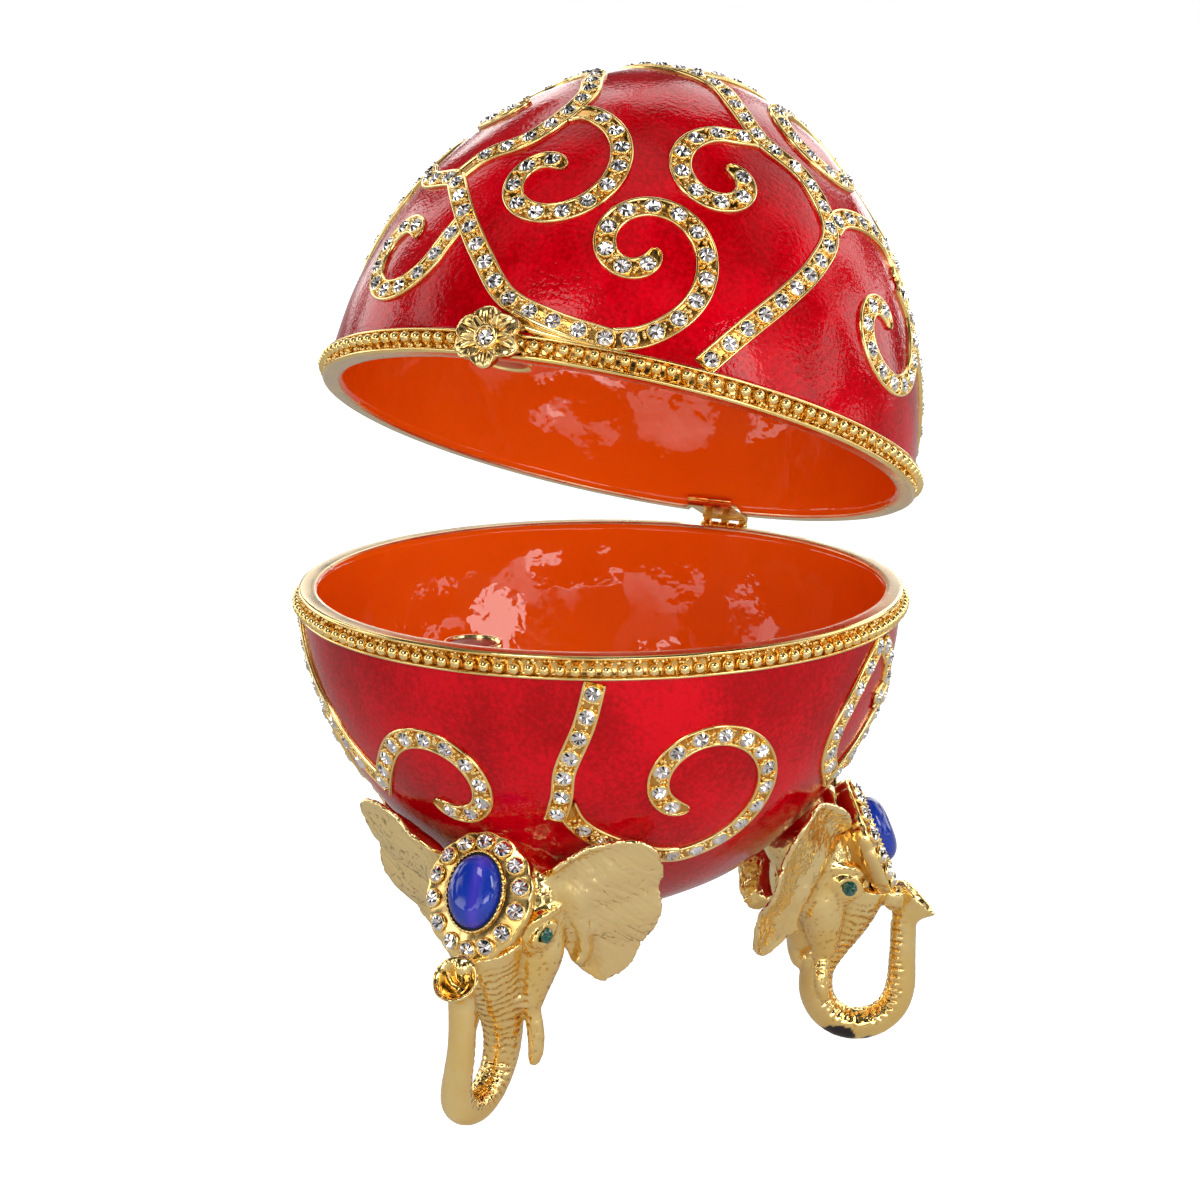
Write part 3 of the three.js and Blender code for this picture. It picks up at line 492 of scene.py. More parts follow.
def scatter_tree():
    """Geometry Nodes that stand a unit shape on every point, along the point's aim, with its own size and spin."""
    tree = bpy.data.node_groups.new("set_on_points", "GeometryNodeTree")
    tree.interface.new_socket("Points", in_out="INPUT", socket_type="NodeSocketGeometry")
    tree.interface.new_socket("Unit", in_out="INPUT", socket_type="NodeSocketObject")
    tree.interface.new_socket("Unit Size", in_out="INPUT", socket_type="NodeSocketFloat")
    tree.interface.new_socket("Spin Range", in_out="INPUT", socket_type="NodeSocketFloat")
    tree.interface.new_socket("Seed", in_out="INPUT", socket_type="NodeSocketInt")
    tree.interface.new_socket("Finish", in_out="INPUT", socket_type="NodeSocketMaterial")
    tree.interface.new_socket("Set", in_out="OUTPUT", socket_type="NodeSocketGeometry")
    given = put(tree, "NodeGroupInput")
    aim = put(tree, "GeometryNodeInputNamedAttribute", {"Name": "aim"}, data_type="FLOAT_VECTOR")
    size = put(tree, "GeometryNodeInputNamedAttribute", {"Name": "size"}, data_type="FLOAT")
    scale = put(tree, "ShaderNodeMath", {0: size.outputs["Attribute"], 1: given.outputs["Unit Size"]},
                operation="MULTIPLY")
    stand = put(tree, "FunctionNodeAlignRotationToVector", {"Vector": aim.outputs["Attribute"]}, axis="Z")
    spin = put(tree, "FunctionNodeRandomValue", {"Seed": given.outputs["Seed"]}, data_type="FLOAT")
    tree.links.new(given.outputs["Spin Range"], spin.inputs[3])
    turn = put(tree, "FunctionNodeAxisAngleToRotation", {"Axis": (0, 0, 1), "Angle": spin.outputs[1]})
    both_turns = put(tree, "FunctionNodeRotateRotation", {"Rotation": stand.outputs["Rotation"],
                     "Rotate By": turn.outputs["Rotation"]}, rotation_space="LOCAL")
    source = put(tree, "GeometryNodeObjectInfo", {"Object": given.outputs["Unit"]})
    placed = put(tree, "GeometryNodeInstanceOnPoints", {"Points": given.outputs["Points"],
                 "Instance": source.outputs["Geometry"], "Rotation": both_turns.outputs["Rotation"],
                 "Scale": scale.outputs["Value"]})
    real = put(tree, "GeometryNodeRealizeInstances", {"Geometry": placed.outputs["Instances"]})
    dressed = put(tree, "GeometryNodeSetMaterial", {"Geometry": real.outputs["Geometry"],
                  "Material": given.outputs["Finish"]})
    put(tree, "NodeGroupOutput", {"Set": dressed.outputs["Geometry"]})
    return tree


set_on_points = scatter_tree()


def unit_shape(name, points, faces, smooth=True):
    """A small shape of unit size, kept only until its copies are made."""
    mesh = bpy.data.meshes.new(name)
    mesh.from_pydata(np.asarray(points, float).tolist(), [], [list(map(int, f)) for f in faces])
    mesh.polygons.foreach_set("use_smooth", np.full(len(mesh.polygons), smooth))
    made = bpy.data.objects.new(name, mesh)
    scene.collection.objects.link(made)
    return made


def set_copies(name, shape, points, aims, size, material, body, lid=False, sizes=None, spin=0.0, seed=1):
    """Sets copies of a unit shape on points, and turns them into one plain mesh."""
    mesh = bpy.data.meshes.new(name + "_points")
    points = np.asarray(points, float)
    aims = np.asarray(aims, float)
    if lid:
        aims = lift_lid(points + aims) - lift_lid(points)
        points = lift_lid(points)
    mesh.from_pydata((points * MM + RIM_CENTRE).tolist(), [], [])
    aim = mesh.attributes.new("aim", "FLOAT_VECTOR", "POINT")
    aim.data.foreach_set("vector", aims.astype(np.float32).ravel())
    own = mesh.attributes.new("size", "FLOAT", "POINT")
    own.data.foreach_set("value", np.asarray(np.ones(len(points)) if sizes is None else sizes, np.float32))
    holder = bpy.data.objects.new(name + "_points", mesh)
    scene.collection.objects.link(holder)
    setter = holder.modifiers.new("set", "NODES")
    setter.node_group = set_on_points
    values = {"Unit": shape, "Unit Size": size * MM, "Spin Range": spin, "Seed": seed, "Finish": material}
    for item in set_on_points.interface.items_tree:
        if item.in_out == "INPUT" and item.name in values:
            setter[item.identifier] = values[item.name]
    graph = bpy.context.evaluated_depsgraph_get()
    result = bpy.data.meshes.new_from_object(holder.evaluated_get(graph))
    bpy.data.objects.remove(holder)
    result.name = name
    made = bpy.data.objects.new(name, result)
    scene.collection.objects.link(made)
    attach(made, body)
    return made


def ball_shape(name, around, rows):
    """A round ball of radius 1."""
    points = [[0, 0, 1.0]]
    for i in range(1, rows):
        for j in range(around):
            a, b = math.pi * i / rows, 2 * math.pi * j / around
            points.append([math.sin(a) * math.cos(b), math.sin(a) * math.sin(b), math.cos(a)])
    points.append([0, 0, -1.0])
    last = len(points) - 1
    faces = [[0, 1 + j, 1 + (j + 1) % around] for j in range(around)]
    for i in range(rows - 2):
        for j in range(around):
            a, b = 1 + i * around + j, 1 + i * around + (j + 1) % around
            faces.append([a, a + around, b + around, b])
    faces += [[last, last - around + (j + 1) % around, last - around + j] for j in range(around)]
    return unit_shape(name, points, faces)


bead_shape = ball_shape("bead_shape", 10, 7)
grain_shape = ball_shape("grain_shape", 5, 3)
for label, up, body, lid in (("bowl", -1, "base", False), ("lid", 1, "lid", True)):
    rng = np.random.default_rng(11 + up)
    turn = np.linspace(0, 2 * math.pi, BEAD_COUNT, endpoint=False)
    out = np.stack([np.cos(turn), np.sin(turn), 0 * turn], axis=1)
    lift = RIM_GAP if lid else 0.0
    beads = out * (BEAD_CENTRE + rng.normal(0, 0.03, BEAD_COUNT))[:, None]
    beads[:, 2] = up * BEAD_DROP + lift + rng.normal(0, 0.03, BEAD_COUNT)
    whole = ~in_notch(beads)
    beads, out = beads[whole], out[whole]
    made = set_copies(f"{label}_beads", bead_shape, beads, out, BEAD_SIZE / 2, bright_gold, body, lid,
                      sizes=rng.uniform(0.93, 1.0, len(beads)), spin=3.0)
    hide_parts(label)
    pebble_count = PEBBLES_PER_BEAD * BEAD_COUNT
    pebble_turn = (np.repeat(turn, PEBBLES_PER_BEAD) + rng.uniform(-0.02, 0.02, pebble_count)
                   + np.tile([0, 0.016, 0.032], BEAD_COUNT))
    pebble_r = rng.uniform(44.55, 44.95, pebble_count)
    pebbles = np.stack([pebble_r * np.cos(pebble_turn), pebble_r * np.sin(pebble_turn),
                        up * rng.uniform(0.72, 1.25, pebble_count) + lift], axis=1)
    pebbles = pebbles[~in_notch(pebbles)]
    made = set_copies(f"{label}_pebbles", grain_shape, pebbles, unit(pebbles * (1, 1, 0)), PEBBLE_SIZE, bright_gold,
                      body, lid, sizes=rng.uniform(0.6, 1.15, len(pebbles)), spin=3.0)
    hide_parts(label)

# Scrolls.
# Raised gold straps wind over lid and bowl, each with a thin smooth edge on both
# sides of a pebbled floor, where the rhinestones sit in a row.
STRAP_HALF = 1.66
STRAP_STEP = 0.55
STRAP_SECTION = [(-1.0, -0.5), (-1.0, 0.30), (-0.93, 0.50), (-0.84, 0.53), (-0.76, 0.42), (-0.68, 0.22), (-0.3, 0.24),
                 (0.3, 0.24), (0.68, 0.22), (0.76, 0.42), (0.84, 0.53), (0.93, 0.50), (1.0, 0.30), (1.0, -0.5)]
# Painted shade for each point of the strap's section: darkest on the pebbled floor between the edges
STRAP_SHADE = [0.3, 0.2, 0.0, 0.0, 0.15, 0.9, 0.75, 0.75, 0.9, 0.15, 0.0, 0.0, 0.2, 0.3]
STONE_SIZE = 2.4
STONE_PITCH = 3.75
STONE_LIFT, SEAT_LIFT = 0.42, 0.36
GRAINS_PER_GAP = 8
TIP_LENGTH = 4.2
THIRDS = [0, 120, -120]


def direction(lon, lat):
    lon, lat = math.radians(lon), math.radians(lat)
    return np.array([math.cos(lat) * math.sin(lon), -math.cos(lat) * math.cos(lon), math.sin(lat)])


def on_shell(shell, dirs):
    """Points where rays from the rim's centre meet the egg's surface."""
    rays = unit(np.atleast_2d(dirs))
    low, high = np.zeros(len(rays)), np.full(len(rays), shell["height"] + shell["radius"])
    for _ in range(40):
        middle = (low + high) / 2
        p = rays * middle[:, None]
        z = shell["up"] * p[:, 2]
        inside = (z < shell["height"]) & (np.hypot(p[:, 0], p[:, 1]) < shell_radius(shell, np.maximum(z, 0)))
        low, high = np.where(inside, middle, low), np.where(inside, high, middle)
    return rays * low[:, None]


def spiral(shell, centre, radii, turn):
    """Directions along a scroll that winds in to its tip as a logarithmic spiral."""
    out = direction(*centre)
    reach = np.linalg.norm(on_shell(shell, out)[0])
    right = np.array([math.cos(math.radians(centre[0])), math.sin(math.radians(centre[0])), 0.0])
    up = -np.cross(right, out)
    up = up if up[2] > 0 else -up
    share = np.linspace(0, 1, 25)
    angle = np.radians(turn[0] + (turn[1] - turn[0]) * share)
    r = radii[0] * (radii[1] / radii[0]) ** share
    return [out * reach + right * a + up * b for a, b in zip(r * np.cos(angle), r * np.sin(angle))]


def smooth_line(points, step):
    """A centripetal Catmull-Rom curve through points, sampled at even steps."""
    p = np.asarray(points, float)
    p = np.vstack([2 * p[0] - p[1], p, 2 * p[-1] - p[-2]])
    fine_points = []
    for i in range(1, len(p) - 2):
        knots = [0.0]
        for a, b in zip(p[i - 1:i + 2], p[i:i + 3]):
            knots.append(knots[-1] + max(np.linalg.norm(b - a), 1e-6) ** 0.5)
        t = np.linspace(knots[1], knots[2], 24, endpoint=False)[:, None]
        k0, k1, k2, k3 = knots
        a1 = (k1 - t) / (k1 - k0) * p[i - 1] + (t - k0) / (k1 - k0) * p[i]
        a2 = (k2 - t) / (k2 - k1) * p[i] + (t - k1) / (k2 - k1) * p[i + 1]
        a3 = (k3 - t) / (k3 - k2) * p[i + 1] + (t - k2) / (k3 - k2) * p[i + 2]
        b1 = (k2 - t) / (k2 - k0) * a1 + (t - k0) / (k2 - k0) * a2
        b2 = (k3 - t) / (k3 - k1) * a2 + (t - k1) / (k3 - k1) * a3
        fine_points.append((k2 - t) / (k2 - k1) * b1 + (t - k1) / (k2 - k1) * b2)
    fine_points = np.vstack(fine_points + [p[-2][None]])
    run = np.concatenate([[0], np.cumsum(np.linalg.norm(np.diff(fine_points, axis=0), axis=1))])
    count = max(4, int(round(run[-1] / step)) + 1)
    even = np.linspace(0, run[-1], count)
    return np.stack([np.interp(even, run, fine_points[:, k]) for k in range(p.shape[1])], axis=1)


def strap_line(shell, scroll, turn, lead):
    """Centre line of one strap on the shell, turned about the egg's axis."""
    dirs = [direction(*p) for p in scroll["stem"]]
    if "spiral" in scroll:
        dirs += spiral(shell, *scroll["spiral"])
    line = smooth_line(on_shell(shell, np.array(dirs)), STRAP_STEP)
    line = on_shell(shell, line[int(lead / STRAP_STEP):])
    c, s = math.cos(math.radians(turn)), math.sin(math.radians(turn))
    return line @ np.array([[c, s, 0], [-s, c, 0], [0, 0, 1]])


LID_SIDE = {"stem": [(67, 39), (73, 43.5)], "spiral": ((82.6, 25.1), (17.6, 1.8), (67, -353)), "lead": 1.3}
LID_STRAPS = [
    ({"stem": [(24, 6.0), (12, 7.8), (2, 11.3), (-6, 19), (-14, 27), (-25, 36.5)], "lead": 0}, THIRDS),
    ({"stem": [(-25, 36.5), (-20, 41.5), (-11, 45), (-6, 51), (-5, 59)],
      "spiral": ((-38, 60), (12, 4.5), (35, 345)), "lead": 0}, THIRDS),
    ({"stem": [(22, 6.1), (28, 7.8)], "spiral": ((24.2, 24.5), (12.8, 2.2), (-58, 373)), "lead": 1.3}, THIRDS),
    ({"stem": [(-6, 51.5)], "spiral": ((0.5, 36.7), (14.1, 2.45), (91, -322)), "lead": 1.3}, THIRDS),
    ({"stem": [(40, 5), (47, 14), (55, 23), (62, 31), (67, 39), (63, 49), (51, 55), (45, 63), (40, 70), (18, 76),
               (-25, 79), (-65, 79), (-97, 76.5)], "lead": 0}, THIRDS),
    ({"stem": [(51, 55)], "spiral": ((39.7, 42.8), (9.7, 2.15), (81, 450)), "lead": 1.3}, THIRDS),
    (LID_SIDE, [0]),
    ({"stem": [(67, 39), (73, 41)], "spiral": ((74, 25), (10.5, 1.8), (67, -353)), "lead": 1.3}, [120]),
    ({"stem": [(-14, 27.5)], "spiral": ((-30.2, 21.8), (9.9, 3.0), (1, -338)), "lead": 1.3}, [0]),
    ({"stem": [(-25, 36.5), (-37, 37.5), (-47, 41), (-53, 39)], "lead": 0}, [0]),
]
BOWL_STRAPS = [
    ({"stem": [(27, -5), (25, -13), (21, -23), (20, -29), (18, -35)], "lead": 0}, THIRDS),
    ({"stem": [(20, -29), (23, -36), (32, -42)], "spiral": ((48, -27), (15.5, 4.5), (-90, 262)), "lead": 1.3}, THIRDS),
    ({"stem": [(-30, -35)], "spiral": ((-6.2, -30), (10.45, 3.9), (154, -138)), "lead": 0.5}, THIRDS),
    ({"stem": [(-60, -5), (-52, -14), (-43, -21), (-36, -28), (-28, -34)], "lead": 0}, [0, -120]),
    ({"stem": [(94, -5), (87, -12), (82, -21), (83, -27), (91, -34)], "lead": 0}, [0]),
    ({"stem": [(95, -6), (101, -11), (102, -16), (97, -18.5)], "lead": 0}, [0]),
]


def strap_frames(shell, line):
    """Normal and sideways directions along a strap's centre line."""
    normals = shell_normals(shell, line)
    return normals, unit(np.cross(unit(np.gradient(line, axis=0)), normals))


def strap_mesh(shell, line, curls):
    """A closed sweep of the strap's section; a scroll's tip narrows to a rounded end."""
    normals, sides = strap_frames(shell, line)
    run = np.arange(len(line)) * STRAP_STEP
    left = run[-1] - run
    width = np.full(len(line), STRAP_HALF)
    if curls:
        share = np.clip(left / TIP_LENGTH, 0, 1)
        width = STRAP_HALF * (0.18 + 0.82 * np.sqrt(np.clip(1 - (1 - share) ** 2, 0, 1)))
    section = np.array(STRAP_SECTION)
    points = (line[:, None] + sides[:, None] * (section[:, 0][None, :, None] * width[:, None, None])
              + normals[:, None] * section[:, 1][None, :, None])
    rows, columns = points.shape[:2]
    faces = grid_faces(rows, columns, wrap_columns=True).tolist()
    faces.append(list(range(columns)))
    faces.append([(rows - 1) * columns + j for j in range(columns)][::-1])
    # Each point also carries its painted shade value from the section
    return points.reshape(-1, 3), faces, np.tile(STRAP_SHADE, rows)


def pick_along(run, values, at):
    return np.stack([np.interp(at, run, values[:, k]) for k in range(3)], axis=1)


def stone_rows(shell, line, curls, starts_on_strap):
    """Places for the stones of one strap, and for the grains between them."""
    run = np.arange(len(line)) * STRAP_STEP
    first = 1.7 if not starts_on_strap else 2.3
    last = run[-1] - (2.9 if curls else 1.6)
    count = max(1, int(round((last - first) / STONE_PITCH)) + 1)
    places = np.linspace(first, last, count)
    normals, sides = strap_frames(shell, line)
    return pick_along(run, line, places), pick_along(run, normals, places), places, (run, normals, sides)


def stone_shape():
    """A brilliant: a star of narrow facets under a flat-topped crown, seen as one bright surface."""
    points, faces = [[0, 0, 0.10]], []
    for k in range(16):
        a = 2 * math.pi * k / 16
        points.append([0.56 * math.cos(a), 0.56 * math.sin(a), 0.44 if k % 2 else 0.30])
    for k in range(16):
        a = 2 * math.pi * k / 16
        points.append([0.94 * math.cos(a), 0.94 * math.sin(a), 0.10 if k % 2 else 0.16])
    for k in range(16):
        a = 2 * math.pi * k / 16
        points.append([0.94 * math.cos(a), 0.94 * math.sin(a), -0.25])
    points.append([0, 0, -0.25])
    for k in range(16):
        n = (k + 1) % 16
        faces.append([0, 1 + k, 1 + n])
        faces.append([1 + k, 17 + k, 17 + n, 1 + n])
        faces.append([17 + k, 33 + k, 33 + n, 17 + n])
        faces.append([49, 33 + n, 33 + k])
    return unit_shape("stone_shape", points, faces, smooth=False)


def collar_shape():
    """The seat round a stone: a thin rounded ring, open in the middle."""
    section = [(0.93, -0.2), (0.93, 0.12), (1.0, 0.2), (1.1, 0.16), (1.18, -0.1), (1.18, -0.2)]
    around = 14
    points = [[r * math.cos(2 * math.pi * j / around), r * math.sin(2 * math.pi * j / around), z]
              for r, z in section for j in range(around)]
    return unit_shape("collar_shape", points, grid_faces(len(section), around, wrap_rows=True, wrap_columns=True))


crystal, crystal_tree, crystal_shader = finish("crystal", 0.045, metallic=1.0, coat=1.0, coat_roughness=0.0)
crystal_cast = mottled(crystal_tree, 420.0)
crystal_colour = blend_colours(crystal_tree, ramp(crystal_tree, crystal_cast.outputs["Mask"], 0.35, 0.65),
                               (0.60, 0.56, 0.55, 1.0), (0.97, 0.95, 0.96, 1.0))
crystal_tree.links.new(crystal_colour, crystal_shader.inputs["Base Color"])
bump(crystal_tree, crystal_shader, crystal_cast.outputs["Height"], 0.05, 0.05)

brilliant = stone_shape()
collar = collar_shape()


def joined(parts):
    """Puts several meshes, each given as points and faces, into one."""
    points, faces, base = [], [], 0
    for part_points, part_faces in parts:
        points.append(np.asarray(part_points, float))
        faces += [[int(i) + base for i in face] for face in part_faces]
        base += len(part_points)
    return np.concatenate(points), faces


def make_scrolls(shell, straps, label, body, lid):
    """All straps of one half as one mesh, with its stones, their seats and the grains between."""
    rng = np.random.default_rng(5 if lid else 6)
    lift = np.array([0, 0, RIM_GAP if lid else 0.0])
    strap_parts, strap_shades = [], []
    stones, aims, grains, grain_aims, grain_sizes = [], [], [], [], []
    for scroll, turns in straps:
        for turn in turns:
            line = strap_line(shell, scroll, turn, scroll["lead"])
            curls = "spiral" in scroll
            points, faces, marks = strap_mesh(shell, line, curls)
            strap_parts.append((points, faces))
            strap_shades.append(marks)
            at, up, places, (run, normals, sides) = stone_rows(shell, line, curls, scroll["lead"] > 0)
            keep = [i for i in range(len(at)) if all(np.linalg.norm(at[i] - q) > STONE_SIZE * 1.05 for q in stones)
                    and BAND_DEPTH + 0.7 < abs(at[i][2])]
            stones += [at[i] for i in keep]
            aims += [up[i] for i in keep]
            gaps = (places[:-1] + places[1:]) / 2
            for gap in gaps:
                for _ in range(GRAINS_PER_GAP):
                    along_at = gap + rng.uniform(-0.85, 0.85)
                    aside = rng.uniform(-1, 1) * 1.05
                    p = pick_along(run, line, [along_at])[0]
                    n = pick_along(run, normals, [along_at])[0]
                    s = pick_along(run, sides, [along_at])[0]
                    size = rng.uniform(0.22, 0.42)
                    grains.append(p + s * aside + n * (0.24 + size * 0.25))
                    grain_aims.append(n)
                    grain_sizes.append(size)
    points, faces = joined(strap_parts)
    made = piece(f"{label}_scrolls", points + lift, faces, [bright_gold], body, lid,
                 marks={"crevice_shade": np.concatenate(strap_shades)})
    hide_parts(label)
    stones, aims = np.array(stones), unit(np.array(aims))
    made = set_copies(f"{label}_stones", brilliant, stones + aims * STONE_LIFT + lift, aims, STONE_SIZE / 2, crystal,
                      body, lid, spin=6.28, seed=4, sizes=rng.uniform(0.96, 1.02, len(stones)))
    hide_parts(label)
    made = set_copies(f"{label}_stone_seats", collar, stones + aims * SEAT_LIFT + lift, aims, STONE_SIZE / 2,
                      bright_gold, body, lid)
    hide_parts(label)
    made = set_copies(f"{label}_grains", grain_shape, np.array(grains) + lift, unit(np.array(grain_aims)), 1.0,
                      bright_gold, body, lid, sizes=grain_sizes, spin=3.0)
    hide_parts(label)


make_scrolls(LID_SHELL, LID_STRAPS, "lid", "lid", True)
make_scrolls(BOWL_SHELL, BOWL_STRAPS, "bowl", "base", False)

# Magnets.
# A nickel-plated disc magnet sits in a thin gold-edged cup inside the front of
# each rim, cast with the wall behind it.
MAGNET_RADIUS = 3.4
MAGNET_CENTRE = 38.35
CUP_RADIUS = 4.2
CUP_SIDES = 48
magnet_metal, magnet_tree, magnet_shader = finish("magnet_metal", 0.33, metallic=1.0)
magnet_cast = mottled(magnet_tree, 260.0)
magnet_colour = blend_colours(magnet_tree, magnet_cast.outputs["Mask"],
                              (0.34, 0.28, 0.31, 1.0), (0.56, 0.49, 0.53, 1.0))
magnet_tree.links.new(magnet_colour, magnet_shader.inputs["Base Color"])
bump(magnet_tree, magnet_shader, magnet_cast.outputs["Height"], 0.15, 0.05)


def capped_faces(rows, sides):
    """Faces of a row of rings, with a cap on the first and the last."""
    faces = grid_faces(rows, sides, wrap_columns=True).tolist()
    return faces + [list(range(sides))[::-1], [(rows - 1) * sides + j for j in range(sides)]]


def round_solid(profile, around, centre, up):
    """A small turned solid from [radius, height] points, standing up or hanging down at a place."""
    angle = np.linspace(0, 2 * math.pi, around, endpoint=False)
    points = [[centre[0] + r * math.cos(a), centre[1] + r * math.sin(a), centre[2] + up * z]
              for r, z in profile for a in angle]
    faces = capped_faces(len(profile), around)
    if up < 0:
        faces = [f[::-1] for f in faces]
    return points, faces


for label, up, body, lid in (("bowl", -1, "base", False), ("lid", 1, "lid", True)):
    lift = RIM_GAP if lid else 0.0
    centre = (0, -MAGNET_CENTRE, lift)
    cup = [(1.0, 3.3), (CUP_RADIUS - 0.6, 3.3), (CUP_RADIUS - 0.1, 3.0), (CUP_RADIUS, 2.6), (CUP_RADIUS, 0.75),
           (CUP_RADIUS - 0.12, 0.6), (CUP_RADIUS - 0.4, 0.6), (CUP_RADIUS - 0.5, 0.7), (CUP_RADIUS - 0.52, 1.4),
           (1.0, 1.5)]
    points, faces = round_solid(cup, CUP_SIDES, centre, up)
    enamelled = 3 * CUP_SIDES
    made = piece(f"{label}_magnet_cup", points, [f[::-1] for f in faces], [orange_enamel, bright_gold], body, lid,
                 slots=[0] * enamelled + [1] * (len(faces) - enamelled))
    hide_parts(label)
    disc = [(1.0, 0.86), (MAGNET_RADIUS - 0.25, 0.86), (MAGNET_RADIUS - 0.06, 0.92), (MAGNET_RADIUS + 0.12, 1.1),
            (MAGNET_RADIUS + 0.12, 2.2), (1.0, 2.2)]
    points, faces = round_solid(disc, CUP_SIDES, centre, up)
    made = piece(f"{label}_magnet_disc", points, [f[::-1] for f in faces], [magnet_metal], body, lid)
    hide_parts(f"{label}_magnet")

# Flower.
# A six-petalled flower is cast on the front of the lid's rim, with cupped and
# grooved petals round a stone in a smooth bezel.
PETALS = 6
FLOWER_AT = np.array([1.2, -45.7, 2.2])
FLOWER_SQUASH = 0.86
CLEAR_OF_BEADS = 46.5
HEART_SIDES = 32


def flower_point(a, b, h):
    """Flower coordinates: across, up and out from the rim."""
    points = FLOWER_AT + np.stack([a, -h, b * FLOWER_SQUASH], axis=-1)
    front = np.minimum(points[..., 1], -np.sqrt(CLEAR_OF_BEADS ** 2 - points[..., 0] ** 2))
    points[..., 1] = np.where(points[..., 2] < 0.6, front - 0.15 * np.maximum(h, 0), points[..., 1])
    return points


def sheet_faces(rows, columns):
    """Faces of a thin sheet: a front grid, a back grid turned round, and the edge between them."""
    front, back = grid_faces(rows, columns), rows * columns
    edge = [j for j in range(columns)] + [(i + 1) * columns - 1 for i in range(1, rows)]
    edge += [(rows - 1) * columns + j for j in range(columns - 2, -1, -1)]
    edge += [i * columns for i in range(rows - 2, 0, -1)]
    faces = front.tolist() + (front[:, ::-1] + back).tolist()
    return faces + [[b, a, a + back, b + back] for a, b in zip(edge, edge[1:] + edge[:1])]


def petal_mesh(k):
    """One cupped petal with grooves, as a closed thin solid."""
    rows, columns = 15, 13
    v = np.linspace(0, 1, rows)[:, None] * np.ones(columns)
    u = np.linspace(-1, 1, columns)[None, :] * np.ones((rows, 1))
    reach = 1.1 + 4.2 * v * (1 - 0.16 * u ** 2)
    width = 2.25 * np.sin(math.pi * (0.11 + 0.74 * v)) ** 0.62
    turn = 2 * math.pi * (k + 0.5) / PETALS + 0.12
    side = u * width
    groove = np.exp(-(u / 0.13) ** 2) * 0.38 * np.sin(math.pi * np.clip(v * 1.05, 0, 1))
    groove = groove + 0.26 * np.exp(-((np.abs(u) - 0.5) / 0.1) ** 2) * np.sin(math.pi * np.clip(v * 1.1, 0, 1))
    veins = 0.05 * np.cos(u * 15) * v
    cup = 0.75 + 0.55 * u ** 2 + 0.75 * np.sin(v * 2.3) - 0.35 * v ** 3
    height = cup - groove + veins
    out = np.array([math.cos(turn), math.sin(turn)])
    across = np.array([-out[1], out[0]])
    a = out[0] * reach + across[0] * side
    b = out[1] * reach + across[1] * side
    top = flower_point(a, b, height)
    under = flower_point(a, b, height * 0 - 1.0)
    # Painted shade: in the grooves, along the petal's sides and at its root on top, and 0.6 all over its underside
    edge_shade = 0.8 * np.clip(np.abs(u.ravel()) * 4 - 3.2, 0, 1)
    top_shade = np.clip(groove.ravel() * 2.8 + edge_shade + 0.4 * (v.ravel() < 0.12), 0, 1)
    points = np.concatenate([top.reshape(-1, 3), under.reshape(-1, 3)])
    return points, sheet_faces(rows, columns), np.concatenate([top_shade, np.full(len(top_shade), 0.6)])


petals = [petal_mesh(k) for k in range(PETALS)]
angle = np.linspace(0, 2 * math.pi, HEART_SIDES, endpoint=False)
heart = [(2.1, -0.6), (2.1, 0.9), (1.9, 1.5), (1.72, 1.78), (1.5, 1.85), (1.32, 1.7), (1.3, 1.2), (0.4, 1.1),
         (0.4, -0.6)]
# Painted shade round the bezel's foot and down its inner side by the stone
heart_shade = np.repeat([0.6, 0.3, 0, 0, 0, 0.3, 0.8, 0.8, 0.8], HEART_SIDES)
heart_points = np.concatenate([flower_point(r * np.cos(angle), r * np.sin(angle) / FLOWER_SQUASH, h + 0 * angle)
                               for r, h in heart])
heart_faces = grid_faces(len(heart), HEART_SIDES, wrap_rows=True, wrap_columns=True)
flower_points, flower_faces = joined([petal[:2] for petal in petals] + [(heart_points, heart_faces)])
made = piece("flower", flower_points + (0, 0, RIM_GAP), flower_faces, [bright_gold], "lid", True,
             marks={"crevice_shade": np.concatenate([petal[2] for petal in petals] + [heart_shade])})
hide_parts("lid")
heart_stone = flower_point(np.array([0.0]), np.array([0.0]), np.array([1.35])) + (0, 0, RIM_GAP)
made = set_copies("flower_stone", brilliant, heart_stone, [[0, -1, 0]], 1.32, crystal, "lid", True, seed=2)
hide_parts("lid")


def ring_points(centre, first, second, a, b, sides):
    turn = np.linspace(0, 2 * math.pi, sides, endpoint=False)[:, None]
    return np.asarray(centre) + np.asarray(first) * a * np.cos(turn) + np.asarray(second) * b * np.sin(turn)


def loft_rings(rings):
    """Closed skin over a row of rings."""
    return np.concatenate(rings), capped_faces(len(rings), len(rings[0]))


def tube(points, radii, sides=14):
    """A round fold of skin along a row of points."""
    line = smooth_line([list(p) + [r] for p, r in zip(points, radii)], 0.4)
    along = unit(np.gradient(line[:, :3], axis=0))
    first = unit(np.cross(along, np.array([0.31, 0.53, 0.79])))
    second = np.cross(along, first)
    return loft_rings([ring_points(p[:3], f, s, p[3], p[3], sides) for p, f, s in zip(line, first, second)])


# Two smooth ribs run from the flower into the strap beside it: places on the lid, and radii
FILLET_RIBS = (([(4, 8.8), (9, 7.0), (15, 5.7), (22, 5.0)], [0.7, 0.7, 0.55, 0.3]),
               ([(4, 6.6), (9, 5.6), (14, 5.0), (19, 4.8)], [0.7, 0.6, 0.5, 0.3]))
rib_points, rib_faces = joined([tube(on_shell(LID_SHELL, np.array([direction(*p) for p in places])), radii)
                                for places, radii in FILLET_RIBS])
made = piece("lid_fillet", rib_points + (0, 0, RIM_GAP), rib_faces, [bright_gold], "lid", True)
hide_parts("lid")

